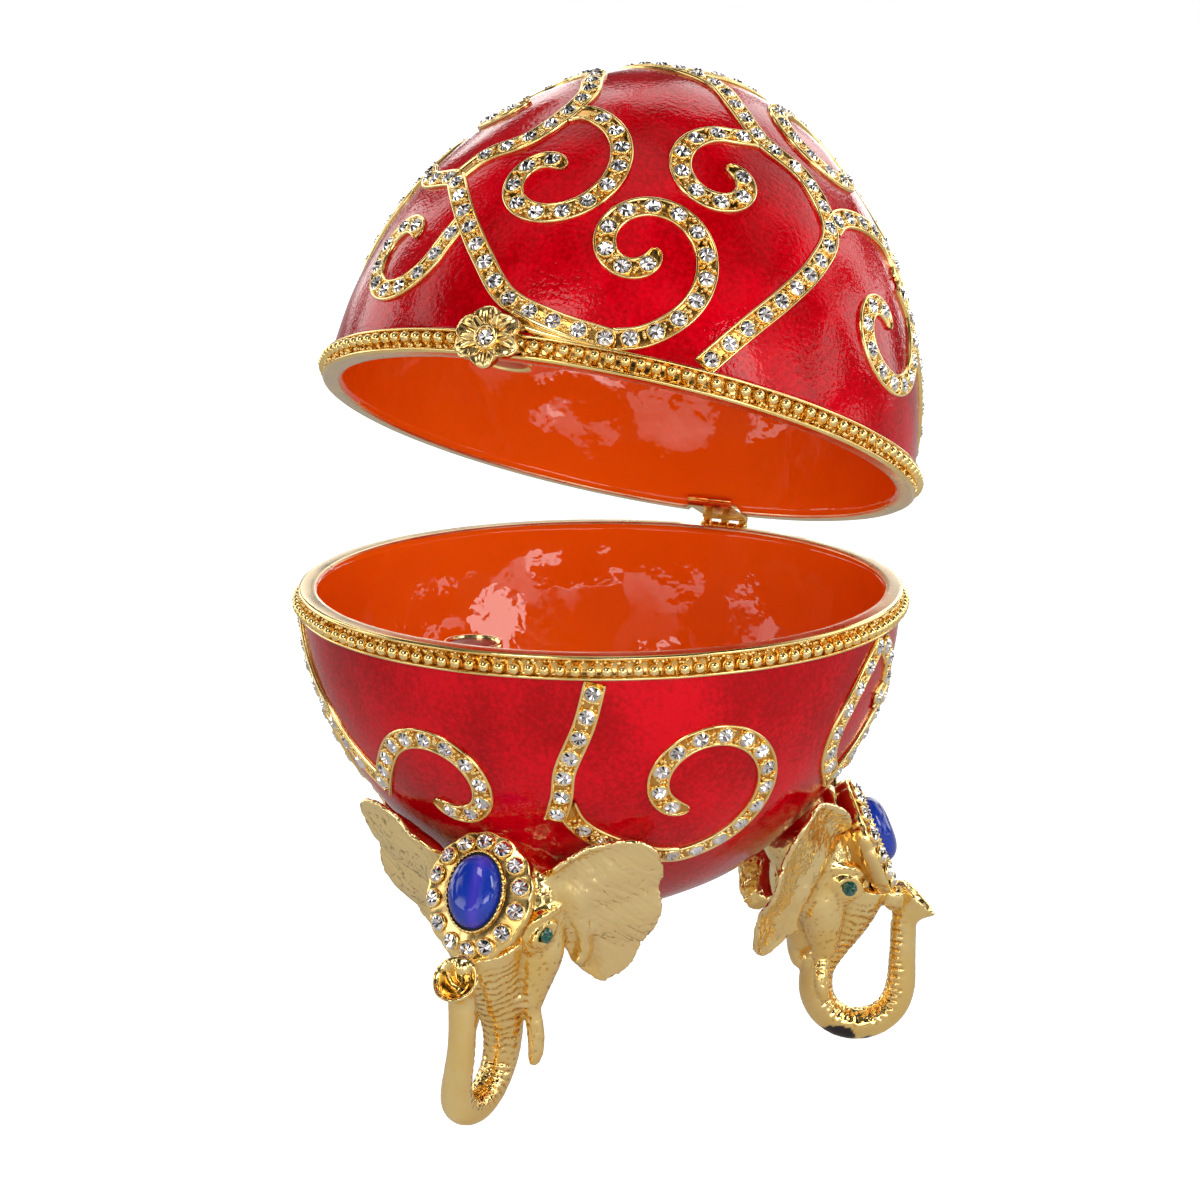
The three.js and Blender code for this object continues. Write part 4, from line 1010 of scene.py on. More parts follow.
# Hinge.
# Folded brass leaves are soldered inside the rims at the back, and their five
# knuckles turn on a plain pin.
HINGE_LEFT, HINGE_WIDTH = -6.8, 7.6
KNUCKLES, KNUCKLE_RADIUS, KNUCKLE_SPACE = 5, 1.0, 0.16
KNUCKLE_BORE, KNUCKLE_ROUND, KNUCKLE_SIDES = 0.42, 0.1, 24
LEAF_BACK, LEAF_INSIDE, LEAF_METAL, LEAF_FOLD = 47.3, 41.0, 0.45, 0.75
BOWL_LEAF_BACK = 46.8
# Spans along the hinge: a whole leaf, its solder tabs, and the bridges to the lid's knuckles
WHOLE_LEAF = ((0.0, HINGE_WIDTH),)
SOLDER_TABS = ((2.9, 4.3), (6.0, 7.3))
BRIDGES = ((0.0, 1.36), (3.12, 4.48), (6.24, 7.6))
# The hinge's gold is a darker, more orange copy of the gold, with painted shade and painted orange reflection in its
# colour
hinge_gold = gold_finish("hinge_gold", 0.2, 500.0, 0.1, (1.0, 0.66, 0.22, 1.0), (0.86, 0.48, 0.10, 1.0))[0]


def boxes_mesh(boxes):
    """Several boxes as one mesh: each has its spans along the hinge, and its low and high [Y, Z]."""
    sides = ((0, 2, 3, 1), (4, 5, 7, 6), (0, 1, 5, 4), (2, 6, 7, 3), (0, 4, 6, 2), (1, 3, 7, 5))
    parts = []
    for spans, low, high in boxes:
        for left, right in spans:
            ends = (HINGE_LEFT + left, *low), (HINGE_LEFT + right, *high)
            parts.append(([[ends[(c >> a) & 1][a] for a in range(3)] for c in range(8)], sides))
    return joined(parts)


def soften(made, width, segments=2):
    """Rounds the edges of a hard piece and makes the result its mesh."""
    rounding = made.modifiers.new("rounding", "BEVEL")
    rounding.width, rounding.segments, rounding.limit_method = width * MM, segments, "ANGLE"
    graph = bpy.context.evaluated_depsgraph_get()
    rounded = bpy.data.meshes.new_from_object(made.evaluated_get(graph))
    made.modifiers.clear()
    made.data = rounded


def cross_rings(rings, centre, sides):
    """Rings of points round an axis along the hinge: each has its place along it and its radius."""
    around = np.linspace(0, 2 * math.pi, sides, endpoint=False)
    return [[x, centre[0] + r * math.cos(a), centre[1] + r * math.sin(a)] for x, r in rings for a in around]


def rod_mesh(rings, centre, sides=20):
    """A round rod along the hinge, closed at its ends."""
    return cross_rings(rings, centre, sides), capped_faces(len(rings), sides)


def knuckle_mesh(first):
    """Every other knuckle, each a short rolled sleeve with rounded ends."""
    pitch = (HINGE_WIDTH + KNUCKLE_SPACE) / KNUCKLES
    width = pitch - KNUCKLE_SPACE
    section = [(0.0, KNUCKLE_BORE), (0.0, KNUCKLE_RADIUS - KNUCKLE_ROUND), (KNUCKLE_ROUND, KNUCKLE_RADIUS),
               (width - KNUCKLE_ROUND, KNUCKLE_RADIUS), (width, KNUCKLE_RADIUS - KNUCKLE_ROUND),
               (width, KNUCKLE_BORE)]
    faces = grid_faces(len(section), KNUCKLE_SIDES, wrap_rows=True, wrap_columns=True)
    lefts = [HINGE_LEFT + i * pitch for i in range(first, KNUCKLES, 2)]
    return joined([(cross_rings([(left + x, r) for x, r in section], HINGE_AT[1:], KNUCKLE_SIDES), faces)
                   for left in lefts])


hinge_y, hinge_z = HINGE_AT[1:]
bowl_z = hinge_z - LEAF_METAL / 2
bowl_leaf = boxes_mesh([(WHOLE_LEAF, (NOTCH_FROM[-1] + 0.6, bowl_z), (BOWL_LEAF_BACK, bowl_z + LEAF_METAL))])
lid_z = RIM_GAP + 0.15
flap_y = LEAF_INSIDE - LEAF_METAL
flap_z = lid_z + LEAF_METAL + LEAF_FOLD
lid_leaf = boxes_mesh([(WHOLE_LEAF, (flap_y, lid_z), (LEAF_BACK + 0.4, lid_z + LEAF_METAL)),
                       (WHOLE_LEAF, (LEAF_BACK - 0.6, lid_z - 0.38), (LEAF_BACK + 0.3, lid_z + 0.1)),
                       (WHOLE_LEAF, (flap_y, lid_z), (LEAF_INSIDE, flap_z)),
                       (SOLDER_TABS, (flap_y - 0.2, lid_z), (LEAF_INSIDE - 0.1, lid_z + 0.6)),
                       (BRIDGES, (hinge_y - 0.2, hinge_z + 0.6), (hinge_y + 0.25, lid_z + 0.1))])
for label, (points, faces), first, body, lid in (("bowl", bowl_leaf, 1, "base", False),
                                                 ("lid", lid_leaf, 0, "lid", True)):
    made = piece(f"hinge_{label}_plate", points, faces, [hinge_gold], body, lid, smooth=False)
    soften(made, 0.08)
    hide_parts(f"hinge_{label}_leaf")
    points, faces = knuckle_mesh(first)
    made = piece(f"hinge_{label}_knuckles", points, faces, [hinge_gold], body, lid)
    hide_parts(f"hinge_{label}_leaf")
left, right = HINGE_LEFT, HINGE_LEFT + HINGE_WIDTH
roll = [(left, 0.25), (left + 0.08, 0.42), (right - 0.08, 0.42), (right, 0.25)]
made = piece("hinge_lid_fold", *rod_mesh(roll, (flap_y - 0.05, flap_z)), [hinge_gold], "lid", True)
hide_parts("hinge_lid_leaf")
pin = [(left - 0.22, 0.22), (left - 0.16, 0.33), (right + 0.16, 0.33), (right + 0.22, 0.22)]
made = piece("hinge_pin_rod", *rod_mesh(pin, (hinge_y, hinge_z)), [hinge_gold], "base")
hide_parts("hinge_pin")

# Elephant heads.
# Each head is one solid gold-plated casting that hangs from the bowl: skull, ears
# and short tusks, and a trunk that curls down, up and back to the forehead.
# A head is drawn looking along +X, with x the distance from the egg's axis.
HEAD_VOXEL = 0.33
CURL_AT, CURL_RADIUS = (39.4, -63.3), 6.5
TRUNK = [(38.6, -45.8, 5.6, 5.6), (37.2, -50.0, 5.0, 4.6), (35.6, -53.8, 4.2, 3.9), (34.3, -57.2, 3.25, 3.4),
         (33.2, -60.4, 2.65, 3.0)]
TRUNK += [(CURL_AT[0] + CURL_RADIUS * math.cos(a), CURL_AT[1] + CURL_RADIUS * math.sin(a),
           2.62 - 0.05 * i, 2.7 - 0.07 * i)
          for i, a in enumerate(np.linspace(math.pi * 1.05, math.pi * 1.95, 7))]
TRUNK += [(46.1, -59.5, 2.1, 2.15), (46.2, -55.8, 2.0, 2.1), (46.2, -53.0, 2.0, 2.15)]
BELL_RINGS = [((46.5, -51.4), 2.3), ((47.2, -50.3), 2.7), ((47.8, -49.6), 3.15), ((48.25, -49.2), 3.6),
              ((48.6, -48.8), 3.75), ((48.75, -48.7), 3.5),
              ((48.4, -49.1), 2.95), ((47.6, -49.9), 2.35), ((46.9, -50.7), 1.7), ((46.3, -51.4), 0.8)]
BELL_AIM = np.array([0.72, 0.0, 0.69])


def trunk_path():
    """Even samples of the trunk's centre line with its half sizes."""
    return smooth_line(TRUNK, 0.5)


def trunk_skin(sides=36):
    path = trunk_path()
    along = unit(np.gradient(path[:, :2], axis=0))
    rings = [ring_points((x, 0, z), (-t[1], 0, t[0]), (0, 1, 0), tall, wide, sides)
             for (x, z, tall, wide), t in zip(path, along)]
    first = np.array([-BELL_AIM[2], 0, BELL_AIM[0]])
    rings += [ring_points((x, 0, z), first, (0, 1, 0), r, r, sides) for (x, z), r in BELL_RINGS]
    return loft_rings(rings)


def blob(centre, radii, lean=0.0):
    """An egg-shaped lump, leaned in the plane of the trunk."""
    rings = []
    for a in np.linspace(0.06, math.pi - 0.06, 18):
        rings.append(ring_points((0, 0, math.cos(a) * radii[2]), (1, 0, 0), (0, 1, 0), radii[0] * math.sin(a),
                                 radii[1] * math.sin(a), 24))
    points, faces = loft_rings(rings)
    c, s = math.cos(math.radians(lean)), math.sin(math.radians(lean))
    points = points @ np.array([[c, 0, -s], [0, 1, 0], [s, 0, c]])
    return points + np.asarray(centre), faces


EAR_EDGE = [(35.5, 9.0, -35.5), (34.9, 11.8, -33.0), (33.3, 14.6, -31.0), (31.9, 17.5, -29.6), (30.9, 20.4, -28.9),
            (30.2, 22.9, -28.9), (29.4, 24.7, -30.0), (28.0, 25.1, -32.6), (26.9, 24.6, -34.9), (26.1, 23.3, -36.6),
            (25.2, 23.4, -38.8), (24.5, 22.9, -41.2), (23.5, 21.4, -43.9), (22.3, 18.8, -46.7), (22.0, 16.6, -50.6),
            (22.6, 14.2, -53.0), (24.2, 12.2, -54.2), (26.0, 11.0, -53.8), (27.4, 10.2, -51.6)]
EAR_ROOT = [(35.6, 7.4, -36.4), (34.9, 8.0, -39.4), (33.5, 8.2, -42.6), (31.6, 8.0, -45.8), (29.6, 7.8, -48.4),
            (27.8, 8.0, -50.6)]


def ear_skin(side):
    """The ear as a dished sheet with a rolled upper edge and a folded lobe, closed all round."""
    rows, columns = 34, 44
    edge = smooth_line(EAR_EDGE, 0.4)
    root = smooth_line(EAR_ROOT, 0.3)
    v = np.linspace(0, 1, columns)
    outer, inner = [pick_along(np.linspace(0, 1, len(line)), line, v) for line in (edge, root)]
    u = np.linspace(0, 1, rows)[:, None]
    sheet = inner[None] * (1 - u[..., None]) + outer[None] * u[..., None]
    facing = unit(np.array([0.78, 0.55, 0.30]))
    dish = -1.5 * np.sin(math.pi * u ** 0.8) * np.sin(math.pi * v[None]) ** 0.7
    roll = 1.5 * np.exp(-((1 - u) / 0.10) ** 2) * np.exp(-(v[None] / 0.30) ** 2)
    fold = 2.3 * np.exp(-((u - 0.18 - 0.12 * v[None]) / 0.085) ** 2) * np.clip(v[None] * 1.6 - 0.25, 0, 1)
    wave = (0.7 * np.sin(11 * v[None] + 0.6) + 0.22 * np.sin(25 * v[None])) * u ** 3
    sheet = sheet + facing * (dish + roll + fold + wave)[..., None]
    du, dv = np.gradient(sheet, axis=0), np.gradient(sheet, axis=1)
    normal = unit(np.cross(du, dv))
    if normal[rows // 2, columns // 2] @ facing < 0:
        normal = -normal
    thick = 0.62 - 0.16 * u ** 2
    front = sheet + normal * thick[..., None]
    back = sheet - normal * thick[..., None]
    points = np.concatenate([front.reshape(-1, 3), back.reshape(-1, 3)]) * (1, side, 1)
    return points, sheet_faces(rows, columns)


EYE_AT = np.array([37.0, 8.9, -44.6])
EYE_AIM = unit(np.array([0.18, 0.98, 0.05]))
EYE_ALONG = unit(np.array([0.80, -0.33, -0.50]))
EYE_UP = unit(np.cross(EYE_AIM, EYE_ALONG))
EYE_UP = EYE_UP if EYE_UP[2] > 0 else -EYE_UP
EYE_RADIUS = 1.18
EYELID_POINTS = 9


def sided(points, side):
    return [np.array(p, float) * (1, side, 1) for p in points]


def eyelid(half_length, half_height, sunk, turns):
    """A row of points along the upper or lower lid of the eye."""
    return [EYE_AT + EYE_ALONG * half_length * math.cos(t) + EYE_UP * half_height * math.sin(t) - EYE_AIM * sunk
            for t in np.linspace(*turns, EYELID_POINTS)]


def head_parts():
    """All lumps and folds of one head, before they are merged into one skin."""
    parts = [trunk_skin(),
             blob((33.8, 0, -41.0), (6.9, 9.0, 8.8)), blob((37.6, 0, -39.4), (2.4, 6.8, 9.0), -22),
             blob((30.6, 0, -38.4), (6.4, 8.6, 6.6)), blob((27.6, 0, -37.2), (2.6, 3.4, 2.6), -30),
             blob((30.2, 0, -45.0), (4.6, 8.8, 6.6)),
             blob((31.4, 0, -51.0), (3.4, 5.2, 6.6), 10), blob((29.7, 0, -56.4), (1.3, 2.0, 4.2), -6),
             blob((45.2, 0, -48.6), (2.2, 1.8, 2.6), 30)]
    for side in (-1, 1):
        parts.append(ear_skin(side))
        parts.append(blob((34.8, side * 6.4, -44.2), (4.6, 2.8, 4.2)))
        jowl = [(33.2, 5.6, -44.5), (33.2, 5.6, -48.5), (33.5, 5.0, -52.6), (33.8, 4.5, -56.2)]
        parts.append(tube(sided(jowl, side), [3.8, 3.7, 2.8, 1.7], 24))
        parts.append(blob((32.6, side * 6.6, -41.5), (4.6, 3.2, 6.6), 8))
        upper, lower = eyelid(2.1, 1.45, 0.15, (3.3, -0.15)), eyelid(2.0, 1.2, 0.3, (3.2, 6.2))
        brow = [EYE_AT + p for p in ((-4.0, 0.6, 3.6), (-1.9, 0.2, 3.3), (0.9, -0.7, 2.7), (2.4, -1.9, 1.5))]
        parts.append(tube(sided(upper, side), [0.56] * EYELID_POINTS))
        parts.append(tube(sided(lower, side), [0.46] * EYELID_POINTS))
        parts.append(tube(sided(brow, side), [0.5, 0.75, 0.7, 0.4]))
        lip = [(36.6, 3.0, -54.6), (34.9, 4.3, -55.8), (33.2, 4.9, -56.4), (31.4, 4.2, -56.6)]
        parts.append(tube(sided(lip, side), [0.5, 0.8, 0.95, 0.6]))
        tusk = [(33.6, 4.6, -56.4), (33.4, 5.2, -58.8), (33.3, 5.7, -61.2), (33.5, 5.9, -63.4), (33.8, 5.9, -64.2)]
        parts.append(tube(sided(tusk, side), [1.2, 1.3, 1.25, 1.0, 0.55]))
    return parts


def merge_skin(parts, voxel):
    """Melts closed parts into one skin with a voxel remesh, in millimetres."""
    points, faces = joined(parts)
    mesh = bpy.data.meshes.new("lumps")
    mesh.from_pydata(points.tolist(), [], faces)
    holder = bpy.data.objects.new("lumps", mesh)
    scene.collection.objects.link(holder)
    melt = holder.modifiers.new("melt", "REMESH")
    melt.mode, melt.voxel_size = "VOXEL", voxel
    graph = bpy.context.evaluated_depsgraph_get()
    skin = bpy.data.meshes.new_from_object(holder.evaluated_get(graph))
    bpy.data.objects.remove(holder)
    points = np.empty(3 * len(skin.vertices), np.float32)
    skin.vertices.foreach_get("co", points)
    corners = np.empty(len(skin.loops), np.int32)
    skin.loops.foreach_get("vertex_index", corners)
    edges = np.empty(2 * len(skin.edges), np.int32)
    skin.edges.foreach_get("vertices", edges)
    return points.reshape(-1, 3).astype(float), corners.reshape(-1, 4), edges.reshape(-1, 2)


def evened(points, edges, rounds, share=0.5):
    """Moves each point towards the mean of its neighbours."""
    degree = np.bincount(edges.ravel(), minlength=len(points))[:, None]
    for _ in range(rounds):
        total = np.zeros_like(points)
        np.add.at(total, edges[:, 0], points[edges[:, 1]])
        np.add.at(total, edges[:, 1], points[edges[:, 0]])
        points = points + share * (total / degree - points)
    return points


def skin_normals(points, quads):
    face = np.cross(points[quads[:, 2]] - points[quads[:, 0]], points[quads[:, 3]] - points[quads[:, 1]])
    total = np.zeros_like(points)
    for k in range(4):
        np.add.at(total, quads[:, k], face)
    return unit(total)


def step_up(values, low, high):
    share = np.clip((values - low) / (high - low), 0, 1)
    return share * share * (3 - 2 * share)


def noise_at(x, y, z):
    """Smooth noise at each place."""
    return np.array([noise.noise(Vector(place)) for place in zip(x, y, z)])


def thin_lines(values):
    """Winding lines where smooth noise passes through nothing."""
    return (1 - np.clip(np.abs(values) * 8, 0, 1)) ** 2


def carve_wrinkles(points):
    """Depth of the skin's folds: rings across the trunk, fine creases on cheeks and ears."""
    x, y, z = points.T
    path = trunk_path()
    along = unit(np.gradient(path[:, :2], axis=0))
    flat = points[:, [0, 2]]
    nearest = np.concatenate([np.argmin(((part[:, None] - path[None, :, :2]) ** 2).sum(-1), axis=1)
                              for part in np.array_split(flat, 40)])
    run = nearest * 0.5 + ((flat - path[nearest, :2]) * along[nearest]).sum(-1)
    across = (flat[:, 0] - path[nearest, 0]) * -along[nearest, 1] + (flat[:, 1] - path[nearest, 1]) * along[nearest, 0]
    across = across / path[nearest, 2]
    near = np.hypot(across * path[nearest, 2], y) < path[nearest, 3] * 1.35 + 0.6
    jitter = noise_at(x * 0.5, y * 0.7, z * 0.5)
    small = noise_at(x * 2.1, y * 2.1, z * 2.1)
    phase = run / 1.15 * math.pi + 1.3 * jitter
    groove = (1 - np.abs(np.sin(phase))) ** 3
    length = run.max()
    zone = step_up(run, 1.0, 4.0) * (1 - step_up(run, length - 5.0, length - 2.0))
    front = step_up(across, -0.25, 0.35)
    broken = 0.35 + 0.65 * step_up(small, -0.5, 0.0)
    depth = 0.46 * groove * zone * front * near * broken
    lateral = np.abs(y)
    face_zone = (~near) & (lateral > 4.0) & (z < -36) & (lateral < 10.5)
    crease = noise_at(x * 0.35 + z * 0.2, y * 0.5, z * 1.3)
    depth = depth + 0.24 * thin_lines(crease) * face_zone * step_up(small, -0.2, 0.3)
    ears = step_up(lateral, 10.5, 13.0)
    vein = noise_at(x * 0.9 + 4, y * 0.45, z * 0.45)
    depth = depth + 0.30 * thin_lines(vein) * ears * step_up(small, -0.3, 0.1)
    pleat = noise_at(x * 0.3, y * 0.8 + z * 0.8, z * 0.2)
    depth = depth + 0.38 * np.abs(pleat) * ears
    return depth + 0.05 * small, ears


def make_head_skin():
    points, quads, edges = merge_skin(head_parts(), HEAD_VOXEL)
    points = evened(points, edges, 5)
    normals = skin_normals(points, quads)
    depth, ears = carve_wrinkles(points)
    broad = evened(points, edges, 14)
    points = points - normals * depth[:, None]
    hollow = ((broad - points) * normals).sum(-1)
    # Painted shade, high where the skin lies below its smoothed form and in the carved wrinkles
    crevice_shade = np.clip(hollow / 0.42, 0, 1) * 0.8 + np.clip(depth / 0.28, 0, 1) * 0.5
    return points, quads, np.clip(crevice_shade, 0, 1), ears


head_points, head_quads, head_crevice_shade, head_ears = make_head_skin()

# The elephants' gold tone includes the painted crevice shade
elephant_gold, elephant_tree, elephant_shader, elephant_shaded_tone = gold_finish("elephant_gold", 0.12, 520.0, 0.22)
splash = named_mark(elephant_tree, "splash")
worn = named_mark(elephant_tree, "worn")
matt = named_mark(elephant_tree, "matt")
paler = blend_colours(elephant_tree, matt, elephant_shaded_tone, (0.98, 0.76, 0.36, 1.0))
reddened = blend_colours(elephant_tree, splash, paler, (0.50, 0.0, 0.01, 1.0))
elephant_tree.links.new(blend_colours(elephant_tree, worn, reddened, (0.012, 0.008, 0.008, 1.0)),
                        elephant_shader.inputs["Base Color"])
metal = put(elephant_tree, "ShaderNodeMath", {0: 1.0, 1: splash}, operation="SUBTRACT", use_clamp=True)
metal_worn = put(elephant_tree, "ShaderNodeMath", {0: metal.outputs[0], 1: worn}, operation="SUBTRACT",
                 use_clamp=True)
elephant_tree.links.new(metal_worn.outputs[0], elephant_shader.inputs["Metallic"])
matt_ears = put(elephant_tree, "ShaderNodeMapRange", {"Value": matt, "To Min": 0.12, "To Max": 0.17})
elephant_tree.links.new(matt_ears.outputs["Result"], elephant_shader.inputs["Roughness"])

# Forehead ornaments.
# An oval plate with a lobe for every stone lies on each forehead, round a
# blue cat's-eye cabochon in a serrated bezel.
ORNAMENT_AT = np.array([40.8, 0.0, -38.4])
ORNAMENT_LEAN = math.radians(22.0)
ORNAMENT_OUT = np.array([math.cos(ORNAMENT_LEAN), 0, math.sin(ORNAMENT_LEAN)])
ORNAMENT_UP = np.array([-math.sin(ORNAMENT_LEAN), 0, math.cos(ORNAMENT_LEAN)])
CABOCHON_HALF = (4.0, 5.3)
RING_STONES = 14
PLATE_SIDES, BEZEL_SIDES, GAP_SIDES, DOME_SIDES = 168, 240, 84, 64
BEZEL_TEETH, TOOTH_DEPTH, TOOTH_FROM = 44, 0.34, 1.2
STONE_TILT = 0.42


def on_ornament(a, b, h):
    a, b, h = np.broadcast_arrays(np.asarray(a, float), b, h)
    return ORNAMENT_AT + a[..., None] * (0, 1, 0) + b[..., None] * ORNAMENT_UP + h[..., None] * ORNAMENT_OUT


def stone_ring(turn):
    """Pointed oval that the fourteen stones lie on."""
    b = np.where(np.cos(turn) > 0, 7.3, 8.4) * np.cos(turn)
    narrow = 1 - 0.10 * np.clip(-np.cos(turn), 0, 1) ** 2
    return 7.0 * np.sin(turn) * narrow, b


def oval_ring(section, around, teeth=0, depth=0.0):
    """A ring round the cabochon from [growth of the oval, height], with teeth cut in its top."""
    turn = np.linspace(0, 2 * math.pi, around, endpoint=False)
    rows = []
    for grow, height in section:
        cut = depth * (0.5 + 0.5 * np.cos(teeth * turn)) if height > TOOTH_FROM else 0.0
        half = CABOCHON_HALF[0] + grow, CABOCHON_HALF[1] + grow
        rows.append(on_ornament(half[0] * np.sin(turn), half[1] * np.cos(turn), height - cut + 0 * turn))
    return np.concatenate(rows), grid_faces(len(section), around, wrap_rows=True, wrap_columns=True)


def lobed_plate():
    """The plate's outline follows the stones with a lobe for each."""
    turn = np.linspace(0, 2 * math.pi, PLATE_SIDES, endpoint=False)
    a, b = stone_ring(turn)
    lobes = 1.34 + 0.28 * np.abs(np.cos(RING_STONES * turn / 2))
    reach = np.hypot(a, b)
    a_out, b_out = a * (1 + lobes / reach), b * (1 + lobes / reach)
    section = ((0.95, -2.6), (0.99, -1.2), (1.0, -0.5), (0.99, -0.28), (0.97, -0.16), (0.93, -0.08), (0.76, 0.55),
               (0.5, 0.75))
    return loft_rings([on_ornament(a_out * s, b_out * s, h) for s, h in section])


def cabochon_dome():
    """The stone: a low wall in the bezel, then a dome."""
    turn = np.linspace(0, 2 * math.pi, DOME_SIDES, endpoint=False)
    profile = [(0.0, 0.4), (0.03, 0.9)]
    profile += [(-CABOCHON_HALF[0] * (1 - math.cos(t) ** 0.62), 0.95 + 2.5 * math.sin(t))
                for t in np.linspace(0.1, 1.52, 16)]
    rows = []
    for grow, height in profile:
        share = (CABOCHON_HALF[0] + grow) / CABOCHON_HALF[0]
        rows.append(on_ornament(CABOCHON_HALF[0] * share * np.sin(turn), CABOCHON_HALF[1] * share * np.cos(turn),
                                height + 0 * turn))
    return loft_rings(rows)


cabochon_blue, blue_tree, blue_shader = finish("cabochon_blue", 0.10, coat=0.3, coat_roughness=0.01)
# The cat's-eye band is a painted sheen: a lighter violet-blue streak in the stone's colour
cat_eye_sheen = named_mark(blue_tree, "cat_eye_sheen")
deep_blue = blend_colours(blue_tree, mottled(blue_tree, 200.0).outputs["Mask"],
                          (0.004, 0.014, 0.20, 1.0), (0.006, 0.045, 0.46, 1.0))
blue_colour = blend_colours(blue_tree, cat_eye_sheen, deep_blue, (0.07, 0.04, 0.50, 1.0))
blue_tree.links.new(blue_colour, blue_shader.inputs["Base Color"])
eye_green, green_tree, green_shader = finish("eye_green", 0.06, coat=1.0, coat_roughness=0.01)
green_colour = blend_colours(green_tree, mottled(green_tree, 600.0).outputs["Mask"],
                             (0.0, 0.012, 0.012, 1.0), (0.0, 0.12, 0.09, 1.0))
green_tree.links.new(green_colour, green_shader.inputs["Base Color"])
# A near-black ring of painted shade fills the gap between the bezel and the cabochon
painted_gap_shade, gap_shade_tree, gap_shade_shader = finish("painted_gap_shade", 0.6)
gap_shade_colour = blend_colours(gap_shade_tree, mottled(gap_shade_tree).outputs["Mask"],
                           (0.012, 0.008, 0.004, 1.0), (0.03, 0.02, 0.01, 1.0))
gap_shade_tree.links.new(gap_shade_colour, gap_shade_shader.inputs["Base Color"])

# How far each casting leans aside and lifts, in millimetres
CASTINGS = {"front": (1.9, 1.7), "right": (0.0, -0.8), "left": (0.0, 0.0)}
# Where the plating is worn off under a foot: [x, z, size]
WORN_SPOTS = {"front": [], "right": [(35.9, -71.2, 3.1), (41.0, -72.2, 1.3)], "left": [(41.0, -72.0, 0.9)]}
BOWL_OVERLAP = 0.7
FOOT_LEVEL = -72.2


def askew(points, place):
    """The castings differ: how far each trunk leans aside, and how high it lifts the head."""
    aside, lift = CASTINGS[place]
    share = step_up(points[:, 2], -72.0, -56.0)
    middle = np.clip(1 - (np.abs(points[:, 1]) - 10.0) / 8.0, 0, 1)
    shift = aside * (1 + 0.06 * np.clip(points[:, 0] - 43.0, 0, 6)) * share * middle
    rise = lift * step_up(points[:, 2], -64.0, -52.0) * (1 - step_up(points[:, 2], -28.0, -20.0)) * middle
    return points + np.stack([0 * shift, shift, rise], axis=1)


def faced(points, k):
    """Turns a head from +X to its place: front, right, left."""
    turn = math.radians(-90 + 120 * k)
    c, s = math.cos(turn), math.sin(turn)
    return points @ np.array([[c, s, 0], [-s, c, 0], [0, 0, 1]])


def enamel_splash(points, gap, k):
    """Red enamel that ran from the bowl on to the top of the head, as a mark."""
    drip = lumps(points, 1.6, 0.8, 12.0 + k) + lumps(points, 4.0, 1.0, 2.0 + k)
    reached = step_up(0.35 + drip - gap, 0.0, 0.25) * (gap < 2.5)
    top = step_up(points[:, 2], -43.0, -40.0) * step_up(points[:, 0], 28.0, 31.0)
    return reached * top * (1 - step_up(np.abs(points[:, 1]), 11.0, 14.0))


def worn_feet(points, spots):
    """Bare dark spots where the plating has worn off, as a mark."""
    scuff = lumps(points, 1.3, 1.0, 30.0)
    mark = np.zeros(len(points))
    for x, z, size in spots:
        away = np.hypot(points[:, 0] - x, (points[:, 2] - z) * 1.5)
        mark = np.maximum(mark, step_up(size + 0.7 * scuff - away, 0.0, 0.12) * (points[:, 1] < 1.5))
    return mark


bezel_section = [(0.80, 0.0), (0.80, 0.6), (0.70, 1.0), (0.56, 1.42), (0.40, 1.42), (0.28, 1.1), (0.26, 0.2)]
bezel = oval_ring(bezel_section, BEZEL_SIDES, BEZEL_TEETH, TOOTH_DEPTH)
ornament_points, ornament_faces = joined([lobed_plate(), bezel])
# Painted shade for each ring of the plate and the bezel, darkest at their feet and inside the bezel
ornament_shade = np.concatenate([np.repeat([0.6, 0.3, 0.0, 0.0, 0.05, 0.2, 0.3, 0.3], PLATE_SIDES),
                                 np.repeat([0.9, 0.4, 0, 0, 0.1, 0.6, 1], BEZEL_SIDES)])
# The ring of painted shade between the bezel and the cabochon
gap_shade_points, gap_shade_faces = oval_ring([(0.30, 0.3), (0.30, 0.92), (-0.2, 0.95), (-0.3, 0.3)], GAP_SIDES)
dome_points, dome_faces = cabochon_dome()
# Painted sheen: the cat's-eye band down the dome
cat_eye_sheen_mark = 0.7 * np.exp(-((dome_points[:, 1] - 1.1) / 0.8) ** 2)
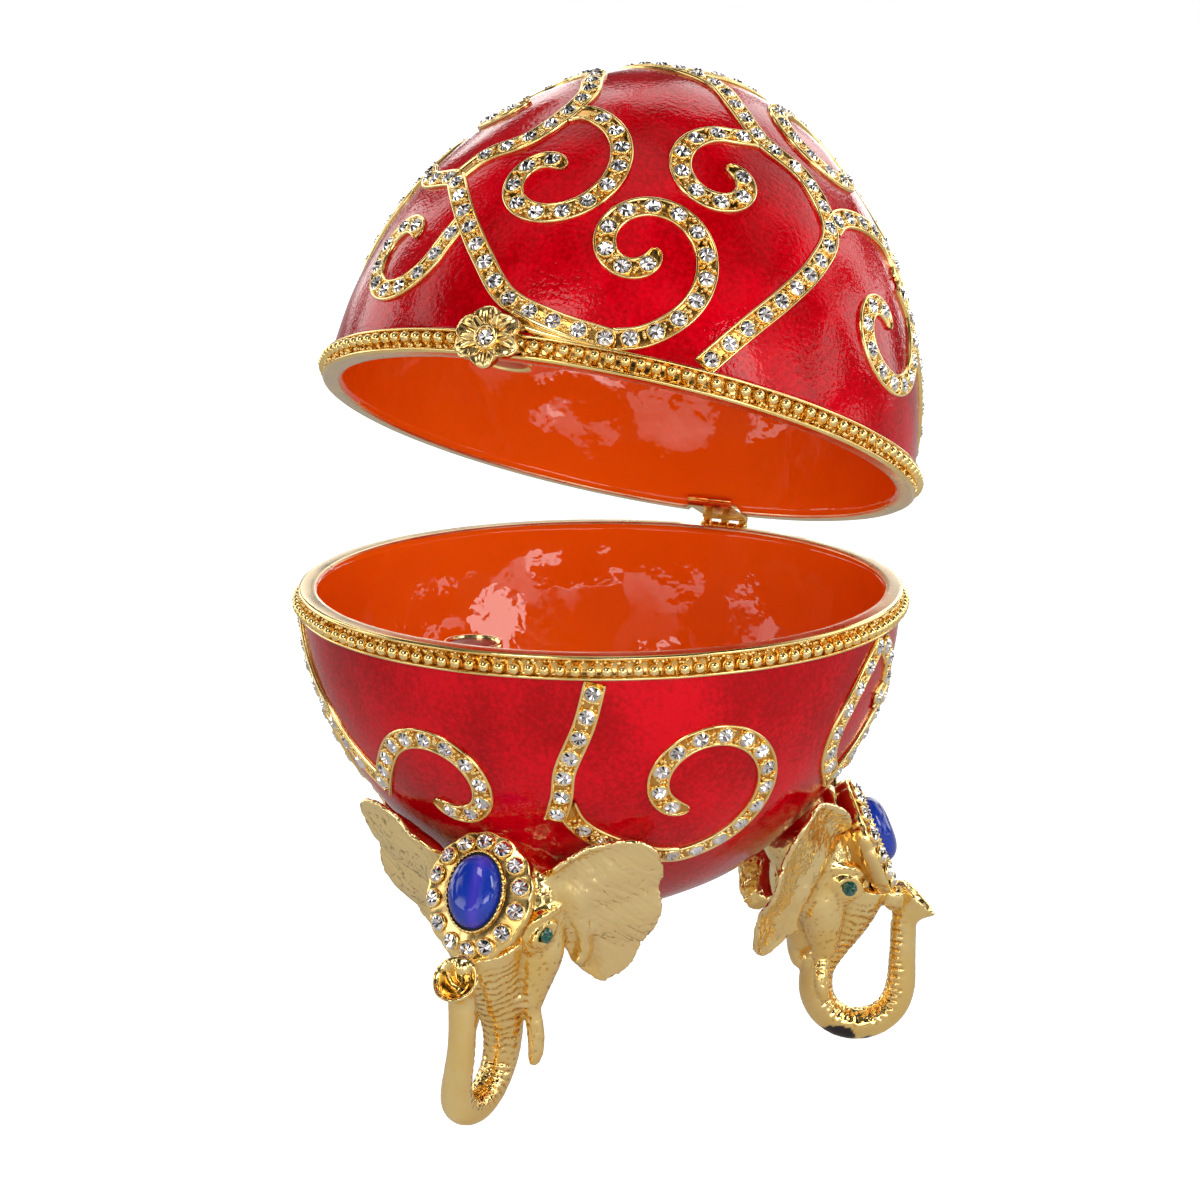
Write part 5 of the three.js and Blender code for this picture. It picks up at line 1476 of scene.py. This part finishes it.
for k, place in enumerate(("front", "right", "left")):
    node = f"elephant_{place}"
    points = askew(head_points, place)
    reach = np.linalg.norm(points, axis=1)
    surface = np.linalg.norm(on_shell(BOWL_SHELL, points), axis=1)
    points = points * (np.maximum(reach, surface - BOWL_OVERLAP) / reach)[:, None]
    points[:, 2] = np.maximum(points[:, 2], FOOT_LEVEL)
    splashed = enamel_splash(points, reach - surface, k)
    worn_mark = worn_feet(points, WORN_SPOTS[place])
    made = piece(f"{node}_head", faced(points, k), head_quads.tolist(), [elephant_gold], "base",
                 marks={"crevice_shade": head_crevice_shade, "matt": head_ears, "splash": splashed, "worn": worn_mark})
    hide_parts(node)

    made = piece(f"{node}_ornament", faced(askew(ornament_points, place), k), ornament_faces, [bright_gold], "base",
                 marks={"crevice_shade": ornament_shade})
    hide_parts(node)

    made = piece(f"{node}_bezel_gap", faced(askew(gap_shade_points, place), k), gap_shade_faces, [painted_gap_shade], "base")
    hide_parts(node)

    made = piece(f"{node}_cabochon", faced(askew(dome_points, place), k), dome_faces, [cabochon_blue], "base",
                 marks={"cat_eye_sheen": cat_eye_sheen_mark})
    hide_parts(f"cabochon_{place}")

    turn = 2 * math.pi * np.arange(RING_STONES) / RING_STONES
    a, b = stone_ring(turn)
    centres = faced(askew(on_ornament(a, b, 0.62), place), k)
    outward = unit(on_ornament(a, b, 0.0) - ORNAMENT_AT)
    aims = faced(unit(ORNAMENT_OUT + STONE_TILT * outward), k)
    made = set_copies(f"{node}_stones", brilliant, centres, aims, STONE_SIZE / 2, crystal, "base", spin=6.28,
                      seed=9 + k)
    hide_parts(node)
    made = set_copies(f"{node}_stone_seats", collar, centres - aims * 0.06, aims, STONE_SIZE / 2 * 1.02, bright_gold,
                      "base")
    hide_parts(node)

    eyes = np.array([EYE_AT + EYE_AIM * 0.25, (EYE_AT + EYE_AIM * 0.25) * (1, -1, 1)])
    eye_aims = np.array([EYE_AIM, EYE_AIM * (1, -1, 1)])
    made = set_copies(f"{node}_eyes", brilliant, faced(askew(eyes, place), k), faced(eye_aims, k), EYE_RADIUS,
                      eye_green, "base", seed=3 + k, spin=3.0)
    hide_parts(node)

# Clearing away.
# The unit shapes were only patterns for the copies, and aren't pieces of the egg.
for helper in (bead_shape, grain_shape, brilliant, collar):
    bpy.data.objects.remove(helper)
